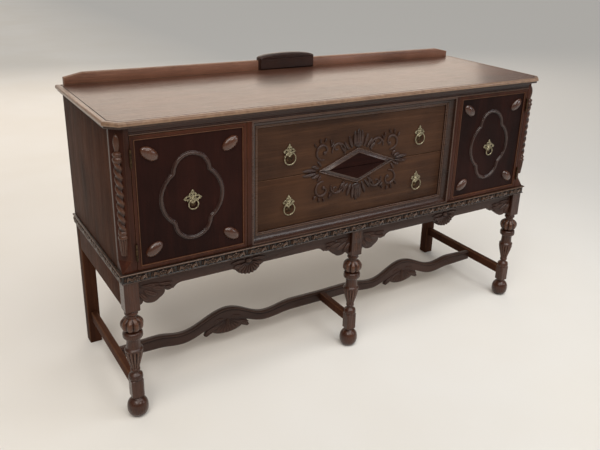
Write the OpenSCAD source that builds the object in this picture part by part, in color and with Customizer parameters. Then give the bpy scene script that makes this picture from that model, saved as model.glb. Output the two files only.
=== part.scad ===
// Sideboard buffet: a canted case on turned legs, two cupboards and two drawers between them.
// Millimetres. +Z up, the front faces -Y, origin on the floor under the middle of the top.

/* [Overall] */
// Width of the top slab
top_w = 1676; // [1560:1:2100]
// Depth of the top slab
top_d = 546; // [440:1:680]
// Height of the top surface above the floor
top_z = 940; // [880:1:1130]

/* [Top slab] */
// Thickness of the slab
slab_t = 20; // [16:1:28]
// Leg of the 45 degree cut at each front corner of the slab
slab_cant = 34; // [24:1:44]
// Overhang past the case front
over_front = 17; // [12:1:24]
// Overhang past each case side
over_side = 20; // [12:1:28]
// Overhang past the case back
over_back = 4; // [0:1:10]
// Distance of the incised line from the slab edge
line_inset = 11; // [8:1:16]

/* [Gallery] */
// Thickness of the gallery rail
rail_t = 16; // [12:1:20]
// Height of the gallery rail
rail_h = 36; // [28:1:50]
// Height left at the clipped ends of the rail
rail_end_h = 23; // [16:1:26]
// Length of the oblique clip at each end of the rail
rail_clip = 60; // [40:1:90]
// Distance of each rail end from the slab end
rail_inset = 25; // [10:1:60]
// Half width of the arched crest
crest_hw = 119; // [90:1:160]
// Height of the crest at its middle
crest_h = 60; // [54:1:80]
// Height of the crest at its ends
crest_end_h = 44; // [40:1:50]
// How far the crest stands in front of the rail
crest_proud = 9; // [4:1:14]

/* [Case] */
// Underside of the case bottom, where the leg frame ends
base_z = 479; // [430:1:520]
// Thickness of the case boards
board_t = 18; // [15:1:22]
// Thickness of each partition between cupboard and drawers
part_t = 16; // [12:1:20]
// Outside of each partition, from the middle of the case
part_x = 424; // [380:1:440]
// Thickness of the back panel
back_t = 6; // [5:1:9]
// Height of the frieze rail under the slab
frieze_h = 22; // [18:1:30]
// Thickness of the frieze rail
frieze_t = 20; // [16:1:26]
// Size of the square corner posts
post_s = 44; // [40:1:52]
// Leg of the 45 degree cut on each corner post
post_cant = 30; // [24:1:34]
// Height of the stop at the foot of each cant
cant_stop = 35; // [24:1:50]
// Thickness of the cupboard shelves
shelf_t = 16; // [12:1:20]
// Distance of the shelf fronts behind the doors
shelf_set = 151; // [60:1:200]

/* [Carved moulding] */
// Height of the carved moulding round the case foot
moulding_h = 31; // [26:1:38]
// How far the moulding hangs below the case bottom
moulding_drop = 13; // [10:1:18]
// How far the moulding stands out
moulding_p = 8; // [6:1:11]

/* [Corner columns] */
// Radius of the twisted shaft
shaft_r = 11; // [8:0.5:12]
// Radius of the collar rings
collar_r = 14.5; // [12:0.5:16]
// Height of the lower collar of the column above the case bottom
column_foot = 53; // [44:1:70]

/* [Doors] */
// Thickness of the door slab
door_t = 18; // [15:1:20]
// Gap round each door and drawer front
gap = 1.5; // [1.2:0.1:2.5]
// Width of the raised rim on the door face
rim_w = 14; // [10:1:18]
// How far the rim stands above the door slab
rim_p = 4; // [3:0.5:6]
// Distance of the quatrefoil moulding from the door's upright edges
quatre_mx = 73.5; // [50:0.5:90]
// Distance of the quatrefoil moulding from the door's top and bottom
quatre_mz = 62.5; // [50:0.5:80]
// Half the width of the quatrefoil bead
quatre_bead = 6; // [4:0.5:8]
// Long half axis of each oval jewel
jewel_a = 29; // [22:1:32]
// Short half axis of each oval jewel
jewel_b = 17.5; // [13:0.5:20]
// Height of each oval jewel
jewel_h = 12; // [8:0.5:13]
// Distance of each jewel's centre from the door's upright edge
jewel_mx = 52.5; // [48:0.5:56]
// Distance of each jewel's centre from the door's top or bottom
jewel_mz = 55.5; // [48:0.5:60]
// Tilt of each jewel's long axis towards the door centre
jewel_tilt = 36; // [20:1:50]

/* [Hinges] */
// Radius of the hinge knuckle
knuckle_r = 3.2; // [2.8:0.1:4]
// Radius of the hinge pin
hinge_pin_r = 1.5; // [1.2:0.1:1.8]
// Radial clearance of a pin in its bore
run_clear = 0.05; // [0.03:0.01:0.09]
// Height of each hinge
hinge_h = 51; // [40:1:60]
// Depth of each hinge leaf into the case
leaf_d = 22; // [18:1:30]
// Thickness of a hinge leaf
leaf_t = 1.2; // [1:0.1:1.6]

/* [Drawers] */
// Width of the moulded surround on the drawer opening
surround_w = 30; // [24:1:36]
// How far the drawer fronts lie behind the case front
recess = 26; // [18:1:32]
// Thickness of the drawer front
front_t = 20; // [16:1:24]
// Thickness of the drawer sides and back
side_t = 12; // [9:1:15]
// Thickness of the drawer bottom
bottom_t = 6; // [4:1:8]
// Room left behind a closed drawer box
box_room = 27; // [5:1:80]
// Thickness of the dust frame between the drawers
dust_t = 16; // [12:1:20]
// Half length of the applied diamond
diamond_hl = 160; // [130:1:180]
// Half height of the applied diamond
diamond_hh = 62; // [50:1:75]
// Height of the diamond's raised field
diamond_p = 9; // [6:1:12]
// Width of the bevel round the diamond's raised field
diamond_w = 15; // [10:1:20]
// Thickness of the scroll overlays
scroll_p = 6; // [4:0.5:8]
// Distance of each drawer pull from the drawer's end
pull_inset = 111.5; // [70:0.5:125]

/* [Ring pulls] */
// Outer radius of a drawer ring
ring_r = 22; // [18:0.5:25]
// Outer radius of a door ring
door_ring_r = 17; // [14:0.5:19]
// Half thickness of the ring wire
wire_r = 2.1; // [1.7:0.1:2.5]
// Radius of the pivot at the top of a ring
pivot_r = 1.5; // [1.2:0.1:1.7]
// Distance of the pivot from the plate
pivot_out = 6.5; // [6:0.5:9]
// Thickness of the pull plate
plate_t = 2; // [1.5:0.1:3]

/* [Legs and stretchers] */
// Size of the front leg blocks
leg_s = 44; // [40:1:50]
// Underside of the front leg blocks
block_z = 370; // [340:1:390]
// Size of the lower block where the stretcher joins
low_s = 38; // [34:1:42]
// Size of the back legs
back_leg_s = 42; // [38:1:48]
// Radius of the ball foot
foot_r = 32.5; // [28:0.5:34]
// Radius of the gadrooned bulb
bulb_r = 34.5; // [28:0.5:38]
// Thickness of the stretchers
stretcher_t = 22; // [18:1:28]
// Height of the side stretchers
stretcher_h = 36; // [30:1:40]
// Middle height of the side stretchers above the floor
stretcher_z = 109; // [100:1:112]
// Place of the long stretcher, in front of the middle
long_y = 36; // [0:1:80]

/* [Aprons] */
// Thickness of the aprons
apron_t = 22; // [18:1:26]
// How far the front apron lies behind the leg blocks
apron_back_set = 12; // [4:1:18]
// Height of the front apron between its drops
apron_h = 54; // [46:1:62]
// Height of the side aprons
side_apron_h = 101; // [90:1:105]
// Half width of the fan pendants
pendant_hw = 56; // [44:1:64]

/* [Hidden] */

walnut = [0.33, 0.17, 0.10];
dark_walnut = [0.18, 0.09, 0.07];
drawer_walnut = [0.30, 0.19, 0.13];
inner_wood = [0.62, 0.47, 0.32];
brass = [0.70, 0.62, 0.42];

eps = 0.01;
case_hw = top_w / 2 - over_side;
front_y = -top_d / 2 + over_front;
rear_y = top_d / 2 - over_back;
slab_z = top_z - slab_t;
floor_z = base_z + board_t;
frieze_z = slab_z - frieze_h;
post_y = front_y + post_s;
post_x = case_hw - post_s;
back_y = rear_y - 6 - back_t;
inner_x = case_hw - board_t;
cant_in = post_cant * cos(45);

// doors
door_x0 = part_x + gap;
door_x1 = post_x - gap;
door_z0 = floor_z + 2;
door_z1 = frieze_z - gap;
door_cx = (door_x0 + door_x1) / 2;
door_cz = (door_z0 + door_z1) / 2;
door_hx = (door_x1 - door_x0) / 2;
door_hz = (door_z1 - door_z0) / 2;
quatre_hw = door_hx - quatre_mx;
quatre_hh = door_hz - quatre_mz;
slab_face_y = front_y + rim_p;
door_back_y = slab_face_y + door_t;
hinge_y = front_y - knuckle_r - 0.3;
hinge_x = post_x - gap / 2;
hinge_centres = [door_z0 + 58, door_z1 - 61];
knuckle_h = hinge_h / 3;
leaf_proud = 0.45;

// drawers
open_hw = part_x - part_t - surround_w;
open_z0 = floor_z + surround_w;
open_z1 = frieze_z - surround_w;
drawer_y = front_y + recess;
front_back_y = drawer_y + front_t;
split_z = (open_z0 + open_z1) / 2;
front_hw = open_hw - gap;
pull_x = front_hw - pull_inset;
slide_clear = 1;
side_x = front_hw - slide_clear;
half_split = 1;
box_lift = 0.5;
lower_z0 = open_z0 + gap;
lower_z1 = split_z - half_split;
upper_z0 = split_z + half_split;
upper_z1 = open_z1 - gap;
runner_z = lower_z0 - box_lift;
dust_z = upper_z0 - box_lift - dust_t;
lower_box_z1 = dust_z - 5;
upper_box_z1 = upper_z1 - 14;
guide_h = 20;
groove_d = 6;
groove_up = 8;

// pulls
ring_gap = 5;
eye_w = 8;
bolt_hole_r = 2.7;

// legs and stretchers
leg_x = case_hw - leg_s / 2;
leg_y = front_y + leg_s / 2;
back_leg_x = case_hw - back_leg_s / 2;
back_leg_y = rear_y - back_leg_s / 2;
foot_z = 64;
low_top_z = 132;
rail_rebate = 2;
rail_z = top_z - rail_rebate;
cap_z = 152;
vase_z = 160;
ridge_z = 236;
neck_z = 244;
collar_z = 276;
bulb_z = 300;
ring_z = 346;
diamond_edge = 5;
bulb_mid_z = (bulb_z + ring_z) / 2;
stretcher_y = -long_y;
side_stretcher_x = leg_x;
long_hw = side_stretcher_x - stretcher_t / 2;
apron_y = front_y + apron_back_set;
apron_x1 = leg_x - leg_s / 2;
apron_x0 = leg_s / 2;
apron_low_z = base_z - apron_h;
pendant_x = part_x - part_t / 2;

// An elliptical arc about [cx, cy], from angle a0 to a1 in n steps.
function arc(cx, cy, rx, ry, a0, a1, n) =
  [for (i = [0:n]) let (a = a0 + (a1 - a0) * i / n) [cx + rx * cos(a), cy + ry * sin(a)]];

// A smooth step from a to b as t goes from 0 to 1.
function ease(a, b, t) = a + (b - a) * (1 - cos(180 * t)) / 2;

// The top's outline, moved inwards by d.
function slab_outline(d) =
  let (x = top_w / 2 - d, y0 = -top_d / 2 + d, y1 = top_d / 2 - d, c = slab_cant - 0.586 * d)
  [[-x, y1], [-x, y0 + c], [-x + c, y0], [x - c, y0], [x, y0 + c], [x, y1]];

module box(x0, x1, y0, y1, z0, z1) {
  translate([x0, y0, z0]) cube([x1 - x0, y1 - y0, z1 - z0]);
}

module both_sides() {
  children();
  mirror([1, 0, 0]) children();
}

// A plate cut to an outline in the XZ plane, between y0 and y1.
module upright(points, y0, y1) {
  translate([0, y1, 0]) rotate([90, 0, 0]) linear_extrude(y1 - y0) polygon(points);
}

// ---- top ----

module top_slab() {
  y1 = top_d / 2 - rail_t;
  color(walnut) difference() {
    union() {
      translate([0, 0, slab_z + 8]) linear_extrude(slab_t - 8) polygon(slab_outline(0));
      translate([0, 0, slab_z]) linear_extrude(8) polygon(slab_outline(5));
    }
    // the incised line along the front and the ends
    translate([0, 0, top_z - 1.5]) linear_extrude(2) difference() {
      polygon(slab_outline(line_inset));
      polygon(slab_outline(line_inset + 2));
      translate([-top_w, top_d / 2 - line_inset - 4]) square([2 * top_w, 8]);
    }
    // the rebate that the gallery and its crest stand in
    box(-top_w / 2 + rail_inset, top_w / 2 - rail_inset, y1, top_d, rail_z, top_z + 1);
    box(-crest_hw, crest_hw, y1 - crest_proud, y1 + 1, rail_z, top_z + 1);
  }
}

module gallery_rail() {
  hl = top_w / 2 - rail_inset;
  foot = rail_z - top_z;
  color(walnut) translate([0, 0, top_z]) upright([
    [-hl, foot], [hl, foot], [hl, rail_end_h], [hl - rail_clip, rail_h],
    [-hl + rail_clip, rail_h], [-hl, rail_end_h]
  ], top_d / 2 - rail_t, top_d / 2);
}

module gallery_crest() {
  rise = crest_h - crest_end_h;
  foot = rail_z - top_z;
  color(dark_walnut) translate([0, 0, top_z]) difference() {
    upright(concat(
      [[-crest_hw, foot], [crest_hw, foot]],
      arc(0, crest_end_h, crest_hw, rise, 0, 180, 24)
    ), top_d / 2 - rail_t - crest_proud, top_d / 2);
    box(-top_w, top_w, top_d / 2 - rail_t, top_d, foot - 1, rail_h);
  }
}

// ---- case ----

module frieze_rail() {
  color(dark_walnut) union() {
    box(-post_x, post_x, front_y, front_y + frieze_t, frieze_z, slab_z);
    translate([-post_x, front_y, frieze_z + 2]) rotate([0, 90, 0]) cylinder(r = 2, h = 2 * post_x, $fn = 24);
  }
}

module case_sides() {
  color(walnut) both_sides() box(-case_hw, -inner_x, post_y, rear_y, floor_z, slab_z);
}

module case_back() {
  color(inner_wood) box(-inner_x, inner_x, back_y, back_y + back_t, floor_z, slab_z);
}

module case_bottom() {
  color(inner_wood) box(-case_hw, case_hw, front_y, rear_y, base_z, floor_z);
}

module partitions() {
  color(inner_wood) both_sides() union() {
    box(-part_x, -part_x + part_t, front_y, back_y, floor_z, frieze_z);
    box(-part_x, -part_x + part_t, front_y + frieze_t, back_y, frieze_z - eps, slab_z);
  }
}

module corner_posts() {
  color(walnut) both_sides() difference() {
    box(-case_hw, -post_x, front_y, post_y, floor_z, slab_z);
    // the cant, and the sloping stop at its foot
    translate([-case_hw, front_y, floor_z + cant_stop]) rotate([0, 0, -45])
      translate([-post_s, cant_in, 0]) {
        translate([0, -post_s, 0]) cube([2 * post_s, post_s, slab_z]);
        rotate([-atan(cant_in / cant_stop), 0, 0]) translate([0, -post_s, -2 * post_s])
          cube([2 * post_s, post_s, 2 * post_s]);
      }
    leaf_pockets(-post_x - leaf_t + leaf_proud, -post_x + 1);
  }
}

// The column's turned outline, from its foot up to the tip of the drop.
module column_outline() {
  z0 = floor_z + column_foot;
  z1 = slab_z - 15;
  base_top = z0 + 52;
  ring_top = base_top + 23;
  drop_z = z1 - 50;
  collar0 = drop_z - 30;
  polygon(concat(
    [[0, z0], [collar_r * 0.72, z0], [collar_r * 0.95, base_top]],
    arc(collar_r - 3, base_top + 5.5, 3, 5.5, -90, 90, 6),
    arc(collar_r - 4, ring_top - 6, 3, 6, -90, 90, 6),
    [[shaft_r - 1, ring_top], [shaft_r, ring_top + 6], [shaft_r, collar0 - 6], [shaft_r - 1, collar0]],
    arc(collar_r - 3, collar0 + 7, 3, 7, -90, 90, 6),
    arc(collar_r - 4, collar0 + 22, 3, 7, -90, 90, 6),
    [[5, drop_z]],
    arc(0, drop_z + 20, 9.5, 17, -50, 90, 12)
  ));
}

module corner_columns() {
  axis_x = case_hw - post_cant / 2;
  axis_y = front_y + post_cant / 2;
  color(dark_walnut) both_sides() translate([-axis_x, axis_y, 0]) rotate([0, 0, -45]) intersection() {
    rotate_extrude($fn = 48) column_outline();
    translate([-40, -80, 0]) cube([80, 80, top_z]);
  }
}

// One side of the drawer surround: a flat, a cove and two beads, running along X at the bottom.
module surround_section() {
  w = surround_w;
  rotate([90, 0, 90]) linear_extrude(2 * (open_hw + w), center = true) polygon(concat(
    [[0, 0]],
    arc(0, w - 9, recess - 5, w - 14, -90, 0, 8),
    arc(recess - 4.5, w - 6.8, 2.2, 2.2, 270, 90, 6),
    arc(recess - 2, w - 2.3, 2.3, 2.3, 270, 90, 6),
    [[recess + front_t, w], [recess + front_t, 0]]
  ));
}

module surround_member(len_hw) {
  w = surround_w;
  intersection() {
    translate([0, front_y, 0]) surround_section();
    upright([[-len_hw - w, 0], [len_hw + w, 0], [len_hw, w], [-len_hw, w]],
      front_y - 1, front_y + recess + front_t + 1);
  }
}

module drawer_surround() {
  hh = (open_z1 - open_z0) / 2;
  color(dark_walnut) translate([0, 0, split_z]) {
    for (turn = [0, 180]) rotate([0, turn, 0]) translate([0, 0, -hh - surround_w])
      surround_member(open_hw);
    for (turn = [90, 270]) rotate([0, turn, 0]) translate([0, 0, -open_hw - surround_w])
      surround_member(hh);
  }
}

module dust_frame() {
  y0 = front_back_y + 2;
  x1 = part_x - part_t;
  color(inner_wood) union() {
    box(-x1, x1, y0, y0 + 50, dust_z, dust_z + dust_t);
    box(-x1, x1, back_y - 50, back_y, dust_z, dust_z + dust_t);
    both_sides() {
      box(-x1, -side_x + 40, y0, back_y, dust_z, dust_z + dust_t);
      box(-x1, -front_hw - slide_clear, y0, back_y, dust_z, dust_z + dust_t + guide_h);
    }
  }
}

module drawer_runners() {
  y0 = front_back_y + 2;
  x1 = part_x - part_t;
  color(inner_wood) both_sides() {
    // the stepped runner that carries and guides the lower drawer
    union() {
      box(-x1, -side_x + 40, front_y + recess + front_t, back_y, floor_z, runner_z);
      box(-x1, -front_hw - slide_clear, y0, back_y, floor_z, runner_z + guide_h);
    }
    // the kicker above the upper drawer's side
    box(-x1, -side_x + 20, y0, back_y, upper_box_z1 + 2, upper_box_z1 + 18);
  }
}

module shelves() {
  y0 = door_back_y + shelf_set;
  z = (floor_z + frieze_z) / 2 - shelf_t / 2;
  color(inner_wood) both_sides() {
    box(-inner_x, -part_x, y0, back_y, z, z + shelf_t);
    // the cleats that carry it
    box(-inner_x, -inner_x + 14, y0 + 20, back_y - 20, z - 18, z);
    box(-part_x - 14, -part_x, y0 + 20, back_y - 20, z - 18, z);
  }
}

module inner_blocks() {
  stop_y = door_back_y + 0.3;
  color(inner_wood) both_sides() {
    // glue blocks in the corners under the slab
    for (y = [post_y + 60, 60, back_y - 70])
      box(-inner_x, -inner_x + 25, y, y + 60, slab_z - 25, slab_z);
    // the stops that the door closes against
    box(-part_x - 16, -part_x, stop_y, stop_y + 14, floor_z, floor_z + 40);
    box(-part_x - 16, -part_x, stop_y, stop_y + 14, frieze_z - 40, frieze_z);
  }
}

// ---- carved moulding ----

module moulding_section(length) {
  rotate([90, 0, 90]) linear_extrude(length, center = true) polygon(concat(
    [[0, 0]],
    arc(0, 3, -moulding_p + 4, 3, -90, 0, 4),
    arc(0, moulding_h / 2 - 1, -moulding_p, moulding_h / 2 - 6, -60, 60, 8),
    arc(-moulding_p + 3, moulding_h - 3, -3, 3, -90, 90, 6),
    [[0, moulding_h]]
  ));
}

module carved_moulding_front() {
  z = base_z - moulding_drop;
  hw = case_hw + moulding_p;
  color(dark_walnut) intersection() {
    translate([0, front_y, z]) moulding_section(2 * hw);
    linear_extrude(top_z) polygon([
      [-hw, front_y - moulding_p], [hw, front_y - moulding_p],
      [case_hw, front_y], [-case_hw, front_y]
    ]);
  }
}

module carved_moulding_sides() {
  z = base_z - moulding_drop;
  length = rear_y - front_y + moulding_p;
  color(dark_walnut) both_sides() intersection() {
    translate([-case_hw, rear_y - length / 2, z]) rotate([0, 0, -90]) moulding_section(length);
    linear_extrude(top_z) polygon([
      [-case_hw - moulding_p, rear_y], [-case_hw, rear_y],
      [-case_hw, front_y], [-case_hw - moulding_p, front_y - moulding_p]
    ]);
  }
}

// ---- legs ----

// The turned outline between the ball foot and the square block.
module leg_outline() {
  polygon(concat(
    [[0, 0]],
    arc(0, foot_z / 2, foot_r, foot_z / 2 / sin(64), -64, 62, 16),
    [[15, foot_z], [18, foot_z + 8], [18, low_top_z], [20, low_top_z]],
    arc(16, (low_top_z + cap_z) / 2, 6, (cap_z - low_top_z) / 2, -80, 80, 8),
    [[12, cap_z], [12, vase_z]],
    [for (i = [1:8]) [12 + 15 * sin(90 * i / 8), vase_z + (ridge_z - vase_z) * i / 8]],
    [[27, neck_z - 2], [22, neck_z], [20.5, (neck_z + collar_z) / 2], [22, collar_z]],
    arc(21, (collar_z + bulb_z) / 2, 9, (bulb_z - collar_z) / 2, -90, 90, 8),
    arc(14, bulb_mid_z, bulb_r - 14, bulb_mid_z - bulb_z, -80, 80, 16),
    [[17, ring_z], [16, ring_z + 5]],
    arc(16, block_z - 7, 4, 5, -60, 60, 6),
    [[17, block_z], [0, block_z]]
  ));
}

module front_leg(x) {
  color(dark_walnut) translate([x, leg_y, 0]) union() {
    rotate_extrude($fn = 48) leg_outline();
    translate([-leg_s / 2, -leg_s / 2, block_z - eps]) cube([leg_s, leg_s, base_z - block_z + eps]);
    // the lower block, chamfered at its corners
    intersection() {
      translate([-low_s / 2, -low_s / 2, foot_z + 4]) cube([low_s, low_s, low_top_z - foot_z - 4]);
      rotate([0, 0, 45]) translate([-low_s * 0.62, -low_s * 0.62, 0]) cube([low_s * 1.24, low_s * 1.24, 200]);
    }
  }
}

module leg_front_left() { front_leg(-leg_x); }
module leg_front_centre() { front_leg(0); }
module leg_front_right() { front_leg(leg_x); }

module back_leg(x) {
  s = back_leg_s;
  color(walnut) box(x - s / 2, x + s / 2, back_leg_y - s / 2, back_leg_y + s / 2, 0, base_z);
}

module leg_back_left() { back_leg(-back_leg_x); }
module leg_back_right() { back_leg(back_leg_x); }

// ---- aprons ----

// The scalloped bracket beside a leg, as offsets from the leg face, going away from it.
bracket_len = 136;
function bracket(z) = concat(
  arc(0, z - 33, 14, 12, -90, 0, 4),
  arc(40, z - 28, 27, 18, 200, 300, 6),
  arc(50, z - 12, 32, 26, -60, -8, 4),
  [[82, z - 11]],
  arc(93, z - 11, 11, 6, 180, 330, 6),
  arc(bracket_len, z - 30, 32, 30, 150, 90, 6)
);

// The fan pendant under a partition, about its own middle.
function pendant(z) = concat(
  [[-pendant_hw, z]],
  arc(-pendant_hw * 0.62, z, pendant_hw * 0.2, 13, 180, 300, 4),
  arc(0, z, pendant_hw * 0.56, 28, 205, 335, 10),
  arc(pendant_hw * 0.62, z, pendant_hw * 0.2, 13, 240, 360, 4),
  [[pendant_hw, z]]
);

function flip(points) = [for (i = [len(points) - 1:-1:0]) [-points[i][0], points[i][1]]];
function move(points, dx) = [for (p = points) [p[0] + dx, p[1]]];

module front_apron() {
  z = apron_low_z;
  color(dark_walnut) upright(concat(
    move(bracket(z), -apron_x1),
    move(pendant(z), -pendant_x),
    move(flip(bracket(z)), -apron_x0),
    [[-apron_x0, base_z], [-apron_x1, base_z]]
  ), apron_y, apron_y + apron_t);
}

module apron_front_left() { front_apron(); }
module apron_front_right() { mirror([1, 0, 0]) front_apron(); }

module aprons_side() {
  color(walnut) both_sides()
    box(-case_hw, -case_hw + apron_t, leg_y + leg_s / 2, back_leg_y - back_leg_s / 2,
      base_z - side_apron_h, base_z);
}

module apron_back() {
  x = back_leg_x - back_leg_s / 2;
  color(walnut) box(-x, x, rear_y - apron_t - 4, rear_y - 4, apron_low_z, base_z);
}

// ---- stretchers ----

module stretchers_side() {
  t = stretcher_t / 2;
  z0 = stretcher_z - stretcher_h / 2;
  color(walnut) both_sides() box(-side_stretcher_x - t, -side_stretcher_x + t,
    leg_y + low_s / 2, back_leg_y - back_leg_s / 2, z0, z0 + stretcher_h);
}

// Stations of the long stretcher along half its length: the share of the length, top and bottom.
stations = [
  [0, 17, -24], [0.17, 18, -23], [0.31, 3, -33], [0.51, 56, 12], [0.73, 4, -38], [0.84, 17, -28],
  [1, 12, -25]
];

// Height of the long stretcher's edge k (1 top, 2 bottom) at share s of the half length.
function edge_height(s, k) =
  let (i = [for (j = [0:len(stations) - 2]) if (s >= stations[j][0]) j][len([
    for (j = [0:len(stations) - 2]) if (s >= stations[j][0]) j]) - 1])
  let (a = stations[i], b = stations[i + 1])
  ease(a[k], b[k], (s - a[0]) / (b[0] - a[0]));

function long_edge(k, n) =
  [for (i = [-n:n]) [long_hw * i / n, stretcher_z + edge_height(abs(i) / n, k)]];

module stretcher_long() {
  t = stretcher_t / 2;
  top = long_edge(1, 36);
  bottom = long_edge(2, 36);
  fan_x = 0.51 * long_hw;
  color(dark_walnut) union() {
    upright(concat(bottom, [for (i = [len(top) - 1:-1:0]) top[i]]), stretcher_y - t, stretcher_y + t);
    // the fan aprons under the crests
    both_sides() translate([-fan_x, 0, stretcher_z]) upright(concat(
      [[-80, -20], [-88, -36]], arc(0, -20, 62, 24, 200, 340, 12), [[88, -36], [80, -20], [0, 20]]
    ), stretcher_y - t + 2, stretcher_y + t - 2);
  }
}

module stretcher_centre() {
  t = stretcher_t / 2;
  color(walnut) box(-t, t, leg_y + low_s / 2, stretcher_y - t,
    stretcher_z - stretcher_h / 2 + 1, stretcher_z + stretcher_h / 2 - 3);
}

// ---- doors ----

// Everything on the doors is drawn for the left door and mirrored for the right one.
module on_side(side) {
  if (side < 0) children();
  else mirror([1, 0, 0]) children();
}

// The shallow pockets that the hinge leaves are let into.
module leaf_pockets(x0, x1) {
  for (z = hinge_centres)
    box(x0, x1, front_y - 1, front_y + leaf_d, z - hinge_h / 2, z + hinge_h / 2);
}

module door_slab(side) {
  color(dark_walnut) on_side(side) difference() {
    box(-door_x1, -door_x0, slab_face_y, door_back_y, door_z0, door_z1);
    leaf_pockets(-door_x1 - 1, -door_x1 + leaf_t - leaf_proud);
    translate([-door_cx, door_back_y + 1, door_pull_z]) rotate([90, 0, 0])
      cylinder(r = bolt_hole_r, h = door_t + 2, $fn = 24);
  }
}

module door_rim(side) {
  color(walnut) on_side(side) difference() {
    translate([-door_cx, 0, door_cz]) for (turn = [0:90:270]) {
      a = turn % 180 == 0 ? door_hx : door_hz;
      b = turn % 180 == 0 ? door_hz : door_hx;
      rotate([0, turn, 0]) intersection() {
        upright([[-a, -b], [a, -b], [a - rim_w, -b + rim_w], [-a + rim_w, -b + rim_w]],
          front_y, slab_face_y);
        // the face slopes a little towards the panel
        translate([-a, 0, -b]) rotate([90, 0, 90]) linear_extrude(2 * a) polygon([
          [slab_face_y, 0], [front_y, 0], [front_y, rim_w - 4],
          [front_y + 1, rim_w - 1], [slab_face_y, rim_w]
        ]);
      }
    }
    leaf_pockets(-door_x1 - 1, -door_x1 + leaf_t - leaf_proud);
  }
}

// The quatrefoil, moved inwards by d: tall lobes above and below, shallow ones at the sides.
module quatrefoil_area(d) {
  notch_x = min(0.61 * quatre_hw, 0.9 * quatre_hh);
  notch_z = min(0.72 * quatre_hh, 0.98 * quatre_hw);
  for (s = [-1, 1]) {
    translate([0, s * (quatre_hh - notch_x)]) circle(r = notch_x - d, $fn = 64);
    translate([s * (quatre_hw - notch_z), 0]) circle(r = notch_z - d, $fn = 64);
  }
}

module door_quatrefoil(side) {
  color(dark_walnut) on_side(side) translate([-door_cx, slab_face_y, door_cz]) rotate([90, 0, 0])
    linear_extrude(6) difference() {
      quatrefoil_area(0);
      quatrefoil_area(2 * quatre_bead);
    }
}

module door_jewels(side) {
  color(walnut) on_side(side) translate([-door_cx, slab_face_y, door_cz])
    for (sx = [-1, 1]) for (sz = [-1, 1])
      translate([sx * (door_hx - jewel_mx), 0, sz * (door_hz - jewel_mz)])
        rotate([0, -sx * sz * jewel_tilt, 0]) jewel();
}

// A flat-backed oval dome, facing -Y.
module jewel() {
  steps = 6;
  for (i = [0:steps - 1]) hull() for (k = [i, i + 1]) {
    a = 86 * k / steps;
    translate([0, -jewel_h * sin(a), 0]) rotate([90, 0, 0]) linear_extrude(0.02)
      polygon(arc(0, 0, jewel_a * cos(a), jewel_b * cos(a), 0, 345, 23));
  }
}

// One hinge leaf with its knuckles. first is 0 where the outer knuckles are its own, else 1.
module hinge_leaf(x0, x1, first) {
  for (z = hinge_centres) difference() {
    union() {
      box(x0, x1, hinge_y, front_y + leaf_d, z - hinge_h / 2, z + hinge_h / 2);
      for (i = [first:2:2]) translate([-hinge_x, hinge_y, z - hinge_h / 2 + i * knuckle_h])
        cylinder(r = knuckle_r, h = knuckle_h, $fn = 32);
    }
    // room for the other leaf's knuckles
    for (i = [1 - first:2:2]) translate([-hinge_x, hinge_y, z - hinge_h / 2 + i * knuckle_h - 0.2])
      cylinder(r = knuckle_r + 0.3, h = knuckle_h + 0.4, $fn = 32);
    if (first == 1) translate([-hinge_x, hinge_y, z - hinge_h / 2])
      cylinder(r = hinge_pin_r + run_clear, h = hinge_h, $fn = 32);
  }
}

module case_hinges() {
  color(brass) both_sides() {
    hinge_leaf(-post_x - leaf_t + leaf_proud, -post_x + leaf_proud, 0);
    for (z = hinge_centres) translate([-hinge_x, hinge_y, z - hinge_h / 2])
      cylinder(r = hinge_pin_r, h = hinge_h, $fn = 32);
  }
}

module door_hinge_leaves(side) {
  color(brass) on_side(side) hinge_leaf(-door_x1 - leaf_proud, -door_x1 + leaf_t - leaf_proud, 1);
}

// ---- ring pulls ----

// Plate, eye and bolt of a pull whose pivot is at the origin; the plate lies back_y behind it.
module pull_plate(hw, up, down, bolt) {
  difference() {
    union() {
      upright([
        [0, up], [-0.3 * hw, 0.45 * up], [-hw, 0.1 * up], [-0.55 * hw, -0.5 * down],
        [0, -down], [0.55 * hw, -0.5 * down], [hw, 0.1 * up], [0.3 * hw, 0.45 * up]
      ], pivot_out - plate_t, pivot_out);
      // the eye that carries the ring
      translate([-eye_w / 2, 0, 0]) rotate([0, 90, 0]) cylinder(r = 3.6, h = eye_w, $fn = 32);
      box(-eye_w / 2, eye_w / 2, 0, pivot_out - plate_t + 0.5, -3, 3);
      // the bolt through the front, with its nut
      translate([0, pivot_out + bolt, 0]) rotate([90, 0, 0])
        cylinder(r = bolt_hole_r - 0.2, h = bolt + 1, $fn = 24);
      translate([0, pivot_out + bolt + 3, 0]) rotate([90, 0, 0]) cylinder(r = 5, h = 3, $fn = 24);
    }
    translate([-hw, 0, 0]) rotate([0, 90, 0]) cylinder(r = pivot_r + run_clear, h = 2 * hw, $fn = 32);
  }
}

// A ring hanging from its pivot at the origin.
module pull_ring(outer_r) {
  r = outer_r - wire_r;
  drop = sqrt(r * r - ring_gap * ring_gap);
  color(brass) union() {
    translate([0, 0, -drop]) difference() {
      rotate([90, 0, 0]) rotate_extrude($fn = 64) translate([r, 0]) circle(r = wire_r, $fn = 20);
      translate([-ring_gap, -5, 0]) cube([2 * ring_gap, 10, 2 * outer_r]);
    }
    translate([-ring_gap - 1, 0, 0]) rotate([0, 90, 0])
      cylinder(r = pivot_r, h = 2 * ring_gap + 2, $fn = 32);
  }
}

door_pull_z = door_cz - 10;
door_pivot_y = slab_face_y - pivot_out;
drawer_pivot_y = drawer_y - pivot_out;

module door_pull_plate(side) {
  color(brass) on_side(side) translate([-door_cx, door_pivot_y, door_pull_z])
    pull_plate(29, 30, 14, door_t);
}

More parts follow.
